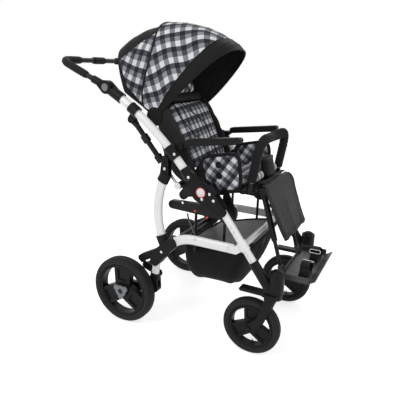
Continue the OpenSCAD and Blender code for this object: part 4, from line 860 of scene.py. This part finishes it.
# backrest: quilted pad, headrest, piping, and black side wings round the back tubes
backPad = {"rear": 11.0, "thick": 44.0, "wide": 330.0, "high": 294.0, "mid": 201.0, "cap": 4.0,
           "topMid": 368.0, "topWide": 316.0, "topHigh": 42.0, "topThick": 32.0, "topCap": 4.0,
           "headWide": 208.0, "headHigh": 92.0, "headMid": 430.5, "headThick": 42.0, "headCap": 5.0,
           "seams": [[(-120, 352), (-124, 338), (-136, 308), (-128, 272), (-98, 215), (-45, 152), (-20, 60)],
                     [(-80, 356), (-52, 312), (-8, 276), (28, 246), (44, 205), (52, 60)],
                     [(116, 352), (138, 290), (140, 200), (120, 60)]],
           "seamWide": 9.0, "seamDeep": 5.0, "piping": 0.0026, "pipingLow": 62.0, "pipingHigh": 342.0}
wings = {"y": 183.5, "flat": 11.0, "low": 2.0, "high": 368.0, "front": 72.0, "topFront": 48.0,
         "rear": -52.0, "rearEdge": -8.0, "pucker": 2.2, "tuckIn": 5.9, "tuckFlat": 5.8}


def pad(name, place, size, finish, cap, fill, body, *replaced, **shape):
    obj = pillow(name, place, *size, finish, **shape)
    blowUp(obj, cap)
    subdivide(obj)
    return dress(obj, body, finish, *replaced)


# a sewn line pressed into a pad: points near the line in the pad's plane sink along the pad's normal
def pressLine(obj, inPlane, line, width, depth, normal):
    p = coords(obj)
    uv = inPlane(p)
    near = np.full(len(p), 1e9)
    for a, b in zip(line[:-1], line[1:]):
        d = b - a
        t = np.clip(((uv - a) @ d) / (d @ d), 0, 1)
        near = np.minimum(near, np.linalg.norm(uv - a - t[:, None] * d, axis=1))
    sink = depth * np.exp(-(near / width) ** 2)
    face = np.empty(len(p) * 3, np.float32)
    obj.data.vertices.foreach_get("normal", face)
    facing = np.clip(face.reshape(-1, 3) @ normal, 0, 1)
    setCoords(obj, p - (sink * facing)[:, None] * normal / 1000)


# a line laid on a pad: each point is cast back at the pad from outside, then lifted a little
def onto(obj, points, outward, lift):
    bpy.context.view_layer.update()
    away = Vector(outward)
    met = [obj.ray_cast(Vector(p) + away * 0.12, -away) for p in points]
    spots = [spot if hit else p for p, (hit, spot, _, _) in zip(points, met)]
    return np.array(spots) + np.asarray(outward) * lift


# a pad's place on the back: its rear on the back's face, its middle at a height
def backPlace(thick, mid):
    return lambda x, y, z: onBack(backPad["rear"] + thick / 2 + z, y, mid + x)


def makeBack():
    b = backPad
    start = onBack(0, 0, 0)

    def inPlane(p):
        return np.stack([p[:, 1], (p - start) @ upBack], -1) * 1000

    cushion = pad("backCushion", backPlace(b["thick"], b["mid"]), (b["wide"], b["high"], b["thick"]),
                  "check_fabric", b["cap"], 0.6, "back", "back_cushion",
                  corner=0.30, edge=0.5, pull=0.03, crown=4.0)
    lines = [through(line, 60) for line in b["seams"]]
    for line in lines:
        pressLine(cushion, inPlane, line[::4], b["seamWide"], b["seamDeep"], aheadBack)
    mapCloth(cushion, start, upBack, (0, 1, 0), 4.0)
    for i, line in enumerate(lines):
        keep = line[(line[:, 1] < b["pipingHigh"]) & (line[:, 1] > b["pipingLow"])]
        path = onto(cushion, onBack(b["thick"], keep[:, 0], keep[:, 1]), aheadBack, 0.0008)
        piping = tube("backPiping%d" % i, path, b["piping"], "black_fabric", side=aheadBack, sides=8,
                      rounded=b["piping"])
        dress(piping, "back", "black_fabric")

    # plain black pad between the check and the headrest
    pad("backUpperPad", backPlace(b["topThick"], b["topMid"]), (b["topWide"], b["topHigh"], b["topThick"]),
        "black_fabric", b["topCap"], 0.4, "back", corner=0.5, edge=0.6, pull=0.02, crown=2.0)
    onHead = backPlace(b["headThick"], b["headMid"])
    head = pad("headrestPad", onHead, (b["headWide"], b["headHigh"], b["headThick"]), "check_fabric",
               b["headCap"], 0.7, "back", "headrest", corner=0.4, edge=0.6, pull=0.03, crown=3.0)
    mapCloth(head, onHead(0, 0, 0), upBack, (0, 1, 0), -38.0)


# wings: a slack black sleeve round each back tube, deeper towards the seat, its creases crossing
def makeWings():
    t = np.linspace(0, 1, 90)[:, None]
    a = np.linspace(0, 2 * np.pi, 41)
    b = wings["low"] + (wings["high"] - wings["low"]) * t
    front = wings["front"] + (wings["topFront"] - wings["front"]) * t
    hollow = 0.4 * (1 - t) + 0.8 * np.sin(np.pi * t ** 0.8)
    rear = wings["rearEdge"] + (wings["rear"] - wings["rearEdge"]) * hollow
    taper = np.sin(np.pi * np.clip(t, 0.02, 0.98)) ** 0.25
    across = blunt(np.cos(a), 0.7)
    x = (front + rear) / 2 + (front - rear) / 2 * across * taper * (1 + 0.04 * np.sin(31 * t + 5 * a))
    crease = np.sin(27 * t + 3.2 * across) + 0.7 * np.sin(15 * t - 4.5 * across + 1)
    grow = np.clip(t / 0.25, 0, 1)
    centre = wings["y"] - wings["tuckIn"] * (1 - grow)
    outside = wings["pucker"] * crease * grow * (1 - t) ** 0.6 * (np.sin(a) > 0)
    bulge = wings["flat"] - wings["tuckFlat"] * (1 - grow) + outside
    y = centre + bulge * blunt(np.sin(a), 0.7) * taper
    # the sleeve's ends close on their middles
    x = np.concatenate([x[:1] * 0 + x[:1].mean(), x, x[-1:] * 0 + x[-1:].mean()])
    y = np.concatenate([y[:1] * 0 + centre[0], y, y[-1:] * 0 + centre[-1]])
    b = np.concatenate([b[:1] - 2, b, b[-1:] + 2])
    for side, name in bothSides:
        wing = surface("backWing" + name, onBack(x, side * y, b), "wing_cloth")
        subdivide(wing)
        dress(wing, "back", "black_fabric")


makeBack()
makeWings()
print("backrest covered")


# seat: check pad, side panels on the bias with black edging, skirts and the pommel pouch
seatPad = {"mid": -4.0, "depth": 256.0, "wide": 328.0, "low": 98.0, "thick": 43.0, "cap": 5.0}
sidePanel = {"mid": (-8.0, 159.0), "long": 158.0, "high": 148.0, "y": 173.2, "thick": 9.5, "cap": 2.0,
             "corner": 0.42, "taper": 0.09, "grommets": [(-6.0, 36.0), (-10.0, -8.0)],
             "grommet": [(0.1, 0.5), (6, 0.6), (9.6, 1.3), (12.4, 1.0), (13.6, -0.6), (12.0, -2.5),
                         (0.1, -2.6)]}
pommelPad = {"at": (119.0, 147.0), "wide": 96.0, "high": 90.0, "thick": 36.0, "hem": 33.0, "cap": 3.0}
skirt = {"from": -58.0, "to": -160.0, "low": 97.0, "high": 228.0, "fall": 0.62, "y": 169.3, "thick": 2.0}


def makeSeat():
    def onPad(x, y, z):
        return onSeat(seatPad["mid"] + x, y, seatPad["low"] + seatPad["thick"] / 2 + z)

    cushion = pad("seatCushion", onPad, (seatPad["wide"], seatPad["depth"], seatPad["thick"]), "check_fabric",
                  seatPad["cap"], 0.6, "seat", "seat_cushion", corner=0.32, edge=0.5, pull=0.02, crown=4.0)
    mapCloth(cushion, onSeat(0, 0, 0), alongSeat, (0, 1, 0), 0.0)
    for side, name in bothSides:
        makePanel(side, name)


def makePanel(side, name):
    p = sidePanel

    def onPanel(x, y, z):
        wide = 1 + p["taper"] * y / (p["high"] / 2)
        return onSeat(p["mid"][0] + x * wide, side * (p["y"] + z), p["mid"][1] + y)

    panel = pad("sidePanel" + name, onPanel, (p["high"], p["long"], p["thick"]), "check_fabric",
                p["cap"], 0.5, "seat", corner=p["corner"], edge=0.5, pull=0.02, crown=1.0)
    mapCloth(panel, onPanel(0, 0, 0), alongSeat, upSeat, 45.0)
    if side < 0:
        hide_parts("side_panels")
    along, up = roundedLoop(120, p["corner"])
    path = evenly(onPanel(along * p["long"] / 2, up * p["high"] / 2, 1.0), 120)[:-1]
    border = sweep("sidePanelEdge" + name, path, band(11, 12), "black_fabric", closed=True)
    dress(border, "seat", "black_fabric")
    for i, (x, y) in enumerate(p["grommets"]):
        centre = onto(panel, [onPanel(x, y, 0.0)], (0, side, 0), 0.0002)[0]
        eyelet = turned("sideGrommet%s%d" % (name, i), centre, (0, side, 0), np.array(p["grommet"]) / 1000,
                        "black_fabric")
        dress(eyelet, "seat", "black_fabric")


# skirts: plain cloth from the panels back to the seat's rear corner, lower towards the rear
def makeSkirts():
    u = np.linspace(0, 1, 41)[:, None]
    v = np.linspace(0, 1, 31)[None]
    x = skirt["from"] + (skirt["to"] - skirt["from"]) * u + 0 * v
    z = skirt["low"] + (skirt["high"] - skirt["low"]) * (1 - skirt["fall"] * u ** 1.5) * v
    ruck = 0.5 * np.sin(9 * u + 6 * v) + 0.3 * np.sin(17 * v - 6 * u)
    for side, name in bothSides:
        points = onSeat(x, side * (skirt["y"] + ruck), z)
        cloth = surface("seatSkirt" + name, points, "wing_cloth", merge=False)
        addModifier(cloth, "SOLIDIFY", thickness=skirt["thick"] / 1000, offset=0)
        dress(cloth, "seat", "black_fabric")
        asSheet(points)


def makePouch():
    def onPouch(x, y, z):
        return onSeat(pommelPad["at"][0] + z, y, pommelPad["at"][1] + x)

    pad("pommelPouch", onPouch, (pommelPad["wide"], pommelPad["high"], pommelPad["thick"]), "black_fabric",
        pommelPad["cap"], 0.7, "seat", "pommel", corner=0.45, edge=0.55, pull=0.03, crown=3.0)
    ahead, across = roundedLoop(80, 0.6)
    path = onPouch(pommelPad["hem"], across * (pommelPad["wide"] / 2 + 0.5),
                   ahead * (pommelPad["thick"] / 2 + 0.5))
    hem = sweep("pommelHem", path, band(11, 3.2), "black_vinyl", side=upSeat, closed=True)
    dress(hem, "seat", "black_fabric")


makeSeat()
makeSkirts()
makePouch()
print("seat covered")


# apron: one sheet from the seat front over the knee bar and down the calves, with soft folds below
apron = {"line": [(562.9, 675.8), (570.5, 674.4), (580, 668), (588, 657), (598, 638), (611, 604), (630, 563),
                  (652, 515), (676, 468)], "bend": 0.22, "half": 176.0, "pinch": 30.0, "taper": 26.0,
         "fold": 2.0, "thick": 2.2, "hem": 0.0019, "stitch": 0.0007, "face": (0.83, 0, 0.55)}
# seat flap: an arc about the knee on the seat's front edge, so that the apron's top slides under it
seatFlap = {"knee": (556.393, 645.002), "reach": 36.5, "half": 136.0, "arc": (143.0, 77.0), "thick": 1.8}


def makeApron():
    line = evenly(through(apron["line"], 240), 61)
    t = np.linspace(0, 1, 61)[:, None]
    v = np.linspace(-1, 1, 81)[None]
    down = np.clip((t - apron["bend"]) / (1 - apron["bend"]), 0, 1)
    fold = np.sin(2.3 * np.pi * v + 0.8 + t) + 0.4 * np.sin(5.1 * np.pi * v + 2.5 * t)
    swell = 3.0 * np.cos(np.pi * v) * np.sin(np.pi * t) - 7 * np.abs(v) ** 8
    x = line[:, :1] + (apron["fold"] * fold + swell) * down
    z = line[:, 1:] + 0.4 * down ** 3 * np.cos(1.4 * np.pi * v) - np.abs(v) ** 6 * (1 - down)
    y = v * (apron["half"] - apron["pinch"] * np.exp(-(t / 0.09) ** 2) - apron["taper"] * down)
    points = row(x, y, z)
    sheet = surface("kneeApron", points, "black_vinyl", merge=False)
    wallIn(sheet, apron["thick"], 0)
    subdivide(sheet)
    dress(sheet, "legrest", "black_fabric", "calf_pad")
    asSheet(points)

    turn = np.radians(np.linspace(*seatFlap["arc"], 25))[:, None]
    across = np.linspace(-seatFlap["half"], seatFlap["half"], 61)[None]
    reach = seatFlap["reach"] + 0.6 * np.sin(across / 21) * np.sin(turn)
    kneeX, kneeZ = seatFlap["knee"]
    flapPoints = row(kneeX + reach * np.cos(turn), across + 0 * turn, kneeZ + reach * np.sin(turn))
    flap = surface("seatFlap", flapPoints, "black_vinyl", merge=False)
    addModifier(flap, "SOLIDIFY", thickness=seatFlap["thick"] / 1000, offset=0)
    dress(flap, "seat", "black_fabric")
    asSheet(flapPoints)

    # hem and stitched edge: a thin cord of cloth round the free edges
    rim = np.vstack([points[3:, 1], points[-2, 2:-2], points[3:, -2][::-1]])
    hem = tube("apronHem", evenly(rim, 170), apron["hem"], "black_vinyl", side=apron["face"], sides=8,
               rounded=apron["hem"])
    dress(hem, "legrest", "black_fabric")
    inside = np.vstack([points[4:-4, 5], points[-5, 6:-6], points[4:-4, -6][::-1]])
    seam = evenly(inside, 170) + np.array([0.0009, 0, 0.0007])
    stitch = tube("apronStitch", seam, apron["stitch"], "webbing",
                  side=apron["face"], sides=6)
    dress(stitch, "legrest", "black_fabric")


makeApron()
print("apron hung")


# basket: a slack bag; its plan is a superellipse, its section a rounder one, and its rim rises to the front
basket = {"rim": [(214, 352), (256, 372), (300, 384), (365, 404), (430, 420), (500, 430), (552, 432)],
          "rimX": (214.0, 552.0), "floorX": (238.0, 490.0), "half": 184.0, "floorHalf": 172.0,
          "most": 186.0, "floor": 205.0, "thick": 2.4, "inside": (380.0, 0.0, 330.0), "hem": 0.0042,
          "pull": [(538, -60, 418), (545, -60, 386), (540, -60, 350), (528, -60, 330)]}


def makeBasket():
    a = np.linspace(0, 2 * np.pi, 129)[None]
    q = np.linspace(0, np.pi / 2, 49)[:, None]
    inward = blunt(np.cos(q), 0.30)
    depth = blunt(np.sin(q), 0.46)
    plan = blunt(np.cos(a), 0.36)
    rim = np.array(basket["rim"], float)
    x0, x1 = basket["rimX"]
    f0, f1 = basket["floorX"]
    rimX = (x0 + x1) / 2 + (x1 - x0) / 2 * plan
    floorX = (f0 + f1) / 2 + (f1 - f0) / 2 * plan
    middle = (x0 + x1) / 2 + ((f0 + f1) / 2 - (x0 + x1) / 2) * depth
    belly = 1 + 0.012 * np.sin(5 * a + 3 * depth) * np.sin(np.pi * depth)
    x = middle + (rimX + (floorX - rimX) * depth - middle) * inward * belly
    wide = basket["half"] + (basket["floorHalf"] - basket["half"]) * depth
    y = np.clip(wide * blunt(np.sin(a), 0.36) * inward * belly, -basket["most"], basket["most"])
    top = np.interp(rimX, rim[:, 0], rim[:, 1]) - 5.4 * np.sin(3 * a) ** 2
    sag = (5 * np.cos(2.5 * a) + 4 * np.sin(7 * a)) * depth * inward
    points = row(x, y, top + (basket["floor"] + sag - top) * depth)
    bag = surface("basketBag", points, "basket_cloth")
    faceOut(bag, row(*basket["inside"]))
    # the inside takes the basket lining, whose pale colour is partly painted light
    bag.data.materials.append(finishes["basket_lining"])
    wallIn(bag, basket["thick"], 1)
    dress(bag, "chassis", "black_fabric", "basket")
    asSheet(points)
    rimPath = points[0, :-1] + np.array([0, 0, 0.001])
    hem = tube("basketHem", evenly(rimPath, 160), basket["hem"], "webbing", side=(0, 0, 1), sides=10,
               closed=True)
    dress(hem, "chassis", "black_fabric")
    pull = sweep("basketPull", through(row(*np.array(basket["pull"]).T), 30), band(22, 2.4), "webbing")
    dress(pull, "chassis", "black_fabric")


makeBasket()
print("basket hung")


# bumper bar sleeve: a foam tube in gathered cloth, ripples across it along the top and at the bends
bumperSleeve = {"foot": (515.6, 644.5), "lean": 9.0, "half": 164.0, "from": 46.0, "high": 206.0, "bend": 62.0,
                "radius": 19.0, "ripple": 2.2, "pitch": 15.0}


def bumperPath(count):
    b = bumperSleeve
    turn = np.linspace(0, np.pi / 2, 30)
    rise = np.linspace(b["from"], b["high"] - b["bend"], 20)
    half = np.vstack([np.stack([-b["half"] + 0 * rise, rise], -1),
                      np.stack([-b["half"] + b["bend"] * (1 - np.cos(turn)),
                                b["high"] - b["bend"] + b["bend"] * np.sin(turn)], -1)])
    y, up = evenly(np.vstack([half, (half * [-1, 1])[::-1]]), count).T
    lean = math.radians(b["lean"])
    return row(b["foot"][0] + up * math.sin(lean), y, b["foot"][1] + up * math.cos(lean))


def makeBumper():
    b = bumperSleeve
    path = bumperPath(420)
    along = np.concatenate([[0], np.cumsum(np.linalg.norm(np.diff(path, axis=0), axis=1))]) * 1000
    share = along / along[-1]
    gather = np.exp(-((share - 0.62) / 0.16) ** 2) + 0.5 * np.exp(-((share - 0.30) / 0.05) ** 2) + 0.15
    ripple = b["ripple"] * gather * np.sin(2 * np.pi * along / b["pitch"] + 2.2 * np.sin(along / 23))
    sleeve = tube("bumperSleeve", path, b["radius"] / 1000, "black_fabric", side=(0.99, 0, -0.156), sides=28,
                  scale=(b["radius"] - 0.6 + ripple) / b["radius"], rounded=0.004)
    dress(sleeve, "bumper", "black_fabric", "bumper_sleeve")


makeBumper()
print("bumper sleeved")


# handle grips: foam sleeves round both bends, and one across the middle
grips = {"hinge": (-94.968, 1016.96), "rise": 23.0, "half": 245.0, "long": 262.0, "bend": 46.0,
         "radius": 16.0, "start": 112.0, "stop": 125.0, "middle": 40.0, "pinch": 0.12}


def onHandle(y, along):
    t = math.radians(grips["rise"])
    return row(grips["hinge"][0] - along * math.cos(t), y, grips["hinge"][1] + along * math.sin(t))


def makeGrip(name, path, scale):
    up = (math.sin(math.radians(grips["rise"])), 0, math.cos(math.radians(grips["rise"])))
    grip = tube("handleGrip" + name, path, grips["radius"] / 1000, "foam", side=up, sides=24, scale=scale,
                rounded=0.002)
    dress(grip, "handle", "foam")
    return grip


def makeGrips():
    g = grips
    turn = np.linspace(0, np.pi / 2, 24)
    y = np.concatenate([np.full(12, g["half"]), g["half"] - g["bend"] * (1 - np.cos(turn)),
                        np.linspace(g["half"] - g["bend"], g["stop"], 14)])
    along = np.concatenate([np.linspace(g["start"], g["long"] - g["bend"], 12),
                            g["long"] - g["bend"] + g["bend"] * np.sin(turn), np.full(14, g["long"])])
    share = np.linspace(0, 1, 90)
    swell = 1 + 0.02 * np.sin(9 * share) - g["pinch"] * (np.exp(-share * 40) + np.exp(-(1 - share) * 40))
    for side, name in bothSides:
        grip = makeGrip(name, evenly(onHandle(side * y, along), 90), swell)
        if side < 0:
            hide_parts("handle_grips")
    across = np.linspace(-g["middle"], g["middle"], 30)
    ends = (np.abs(across) / g["middle"]) ** 10
    makeGrip("Middle", onHandle(across, g["long"] + 0 * across), 1 - g["pinch"] * ends)


makeGrips()
print("grips fitted")


# foot straps: webbing loops over the plate, each with a doubled tongue and a wire buckle
footStrap = {"x": 746.0, "y": 86.0, "radius": 46.0, "lift": 9.2, "plate": 319.72, "wide": 36.0, "thick": 3.0,
             "tongue": (14, 34), "tongueWide": 28.0, "tongueLift": 0.0033,
             "buckle": (0.0225, 0.0085), "buckleLift": 0.0042, "wire": 0.0016}


def makeFootStraps():
    f = footStrap
    r = f["radius"] - f["thick"] / 2
    drop = math.asin(f["lift"] / r)
    t = np.linspace(-drop, np.pi + drop, 50)
    flat = 1 - 0.10 * np.clip(np.sin(t), 0, 1) ** 2
    first, last = f["tongue"]
    across, along = roundedLoop(60, 0.35)
    for side, name in bothSides:
        path = row(f["x"] + 2.5 * np.sin(3 * t), side * (f["y"] + r * np.cos(t)),
                   f["plate"] + f["lift"] + r * np.sin(t) * flat)
        strap = sweep("footStrap" + name, path, band(f["wide"], f["thick"]), "webbing", side=(1, 0, 0))
        dress(strap, "foot", "black_fabric")
        if side < 0:
            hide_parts("foot_straps")
        over = path[first:last] + np.array([0, 0, f["tongueLift"]])
        tongue = sweep("footTongue" + name, over, band(f["tongueWide"], f["thick"]), "webbing",
                       side=(1, 0, 0))
        dress(tongue, "foot", "black_fabric")
        # the buckle is a wire ring at the tongue's end, square to the strap
        c = math.cos(t[last])
        s = math.sin(t[last])
        out = np.array([0, side * c, s]) * f["buckleLift"]
        ahead = np.array([0, -side * s, c]) * f["buckle"][1]
        wide = np.array([f["buckle"][0], 0, 0])
        ring = path[last] + out + across[:, None] * wide + along[:, None] * ahead
        buckle = tube("footBuckle" + name, ring, f["wire"], "bright_steel", side=out, sides=8, closed=True)
        dress(buckle, "foot", "bright_steel")


makeFootStraps()
print("foot straps laid")


# trim: plain discs on the hubs, red markers on the carriers, valve stems and bolt heads
trim = {"disc": (355.0, 643.0, 265.5), "discRadius": 20.5, "markerY": 227.5,
        "markers": [(313.0, 551.0), (449.0, 575.0), (368.0, 533.0)],
        "marker": [(0.1, 2.4), (3.4, 2.3), (4.6, 1.6), (5.0, 0.4), (5.0, -0.6)],
        "valves": {"rear": (98.0, -62.0), "front": (10.0, -84.0)},
        "valve": [(0.1, 21), (1.8, 20.6), (2.2, 17), (1.9, 13), (2.7, 12.4), (2.9, 0), (2.9, -3)],
        "bolts": [(331.6, 441.7), (390.0, 641.0), (360.0, 617.0), (409.0, 618.0), (299.0, 696.0),
                  (234.0, 779.0), (186.0, 714.0), (243.0, 568.0), (180.0, 358.0)],
        "bolt": [(0.1, 2.6), (2.8, 2.5), (4.6, 1.7), (5.4, 0.6), (6.2, 0.4), (6.2, -2.0)]}


# the outermost solid met by a line from the side at (x, z): where it is met and the body that it is on
def outermost(x, z, side):
    best = (None, None)
    bpy.context.view_layer.update()
    for solid in nodes.values():
        if not solid.visible_get():
            continue
        turn = solid.matrix_world.inverted()
        start = turn @ Vector(row(x, side * 400, z))
        hit, spot, _, _ = solid.ray_cast(start, turn.to_3x3() @ Vector((0, -side, 0)))
        spot = solid.matrix_world @ spot
        if hit and (best[0] is None or side * spot.y > side * best[0][1]):
            best = (np.array(spot), body_of(solid)[0])
    return best


def fitTurned(name, at, axis, profile, finish, sides, body, slot):
    dress(turned(name, at, axis, np.array(profile) / 1000, finish, sides), body, slot)


def makeTrim():
    x, z, y = trim["disc"]
    r = trim["discRadius"]
    face = [(0.2, 1.2), (r - 3.4, 1.2), (r - 3.2, 0.9), (r - 3.2, -0.4)]
    rim = [(r - 3.2, -0.4), (r - 3.2, 1.1), (r - 2.6, 1.5), (r - 0.6, 1.5), (r, 1.0), (r, -0.4)]
    for side, name in bothSides:
        out = (0, side, 0)
        at = row(x, side * y, z)
        fitTurned("hubDisc" + name, at, out, face, "disc_white", 64, "chassis", "white_paint")
        fitTurned("hubDiscRim" + name, at, out, rim, "red_plastic", 64, "chassis", "grey_plastic")
        for i, (mx, mz) in enumerate(trim["markers"]):
            fitTurned("carrierMarker%s%d" % (name, i), row(mx, side * trim["markerY"], mz), out,
                      trim["marker"], "red_plastic", 28, "chassis", "grey_plastic")
        for place, (vx, vz) in trim["valves"].items():
            w = wheels[place]
            reach = math.hypot(vx, vz)
            fitTurned(place + "Valve" + name, row(w["x"] + vx, side * w["y"], w["z"] + vz),
                      (-vx / reach, 0, -vz / reach), trim["valve"], "black_plastic", 16,
                      place + "_wheel_" + name.lower(), "black_plastic")
        for i, (bx, bz) in enumerate(trim["bolts"]):
            where, body = outermost(bx, bz, side)
            if body:
                fitTurned("bolt%s%d" % (name, i), where, out, trim["bolt"], "bright_steel", 20, body,
                          "bright_steel")


makeTrim()
print("trim fitted")


# floor, backdrop light and studio lamps
studio = {"floor": (0.86, 0.86, 0.86), "below": 0.0008, "fill": 0.5, "glow": 0.62, "aim": (0.0, 0.0, 0.6),
          "lamps": [("key", (-1.2, -2.6, 3.0), 2.2, 46.0), ("side", (2.8, -1.4, 2.2), 2.0, 22.0),
                    ("back", (-0.6, 2.6, 2.6), 2.4, 18.0)]}


# one for rays that show the backdrop: straight from the camera, off a gloss or through glass
def showsBackdrop(start):
    path = start.node("ShaderNodeLightPath").out.node.outputs
    camera, glossy, clear = (Sock(start.tree, path["Is %s Ray" % kind])
                             for kind in ("Camera", "Glossy", "Transmission"))
    return camera + glossy + clear > 0.5


def makeStage():
    side = np.linspace(-6, 6, 13)
    x, y = np.meshgrid(side, side, indexing="ij")
    finishes["floor"], at = newFinish("floor")
    glow = mixed(at, showsBackdrop(at), (0, 0, 0), (studio["glow"],) * 3)
    shade(finishes["floor"], {"Base Color": studio["floor"], "Roughness": 0.9, "Emission Color": glow,
                              "Emission Strength": 1.0})
    low = float(cadBox[0][2]) - studio["below"]
    surface("floor", np.stack([x, y, 0 * x + low], -1), "floor", outward=False)
    world = bpy.data.worlds.new("studio")
    world.use_nodes = True
    scene.world = world
    tree = world.node_tree
    sky = tree.nodes["Background"].inputs
    sky["Color"].default_value = (1, 1, 1, 1)
    feed(tree, sky["Strength"], showsBackdrop(Sock(tree, None)) * (1 - studio["fill"]) + studio["fill"])
    for name, at, size, power in studio["lamps"]:
        lamp = bpy.data.lights.new(name, "AREA")
        lamp.shape = "DISK"
        lamp.size = size
        lamp.energy = power
        back = np.array(at) - studio["aim"]
        back /= np.linalg.norm(back)
        across = np.cross((0, 0, 1), back)
        across /= np.linalg.norm(across)
        stand(bpy.data.objects.new(name, lamp), across, np.cross(back, across), back, at)


makeStage()
print("stage lit")
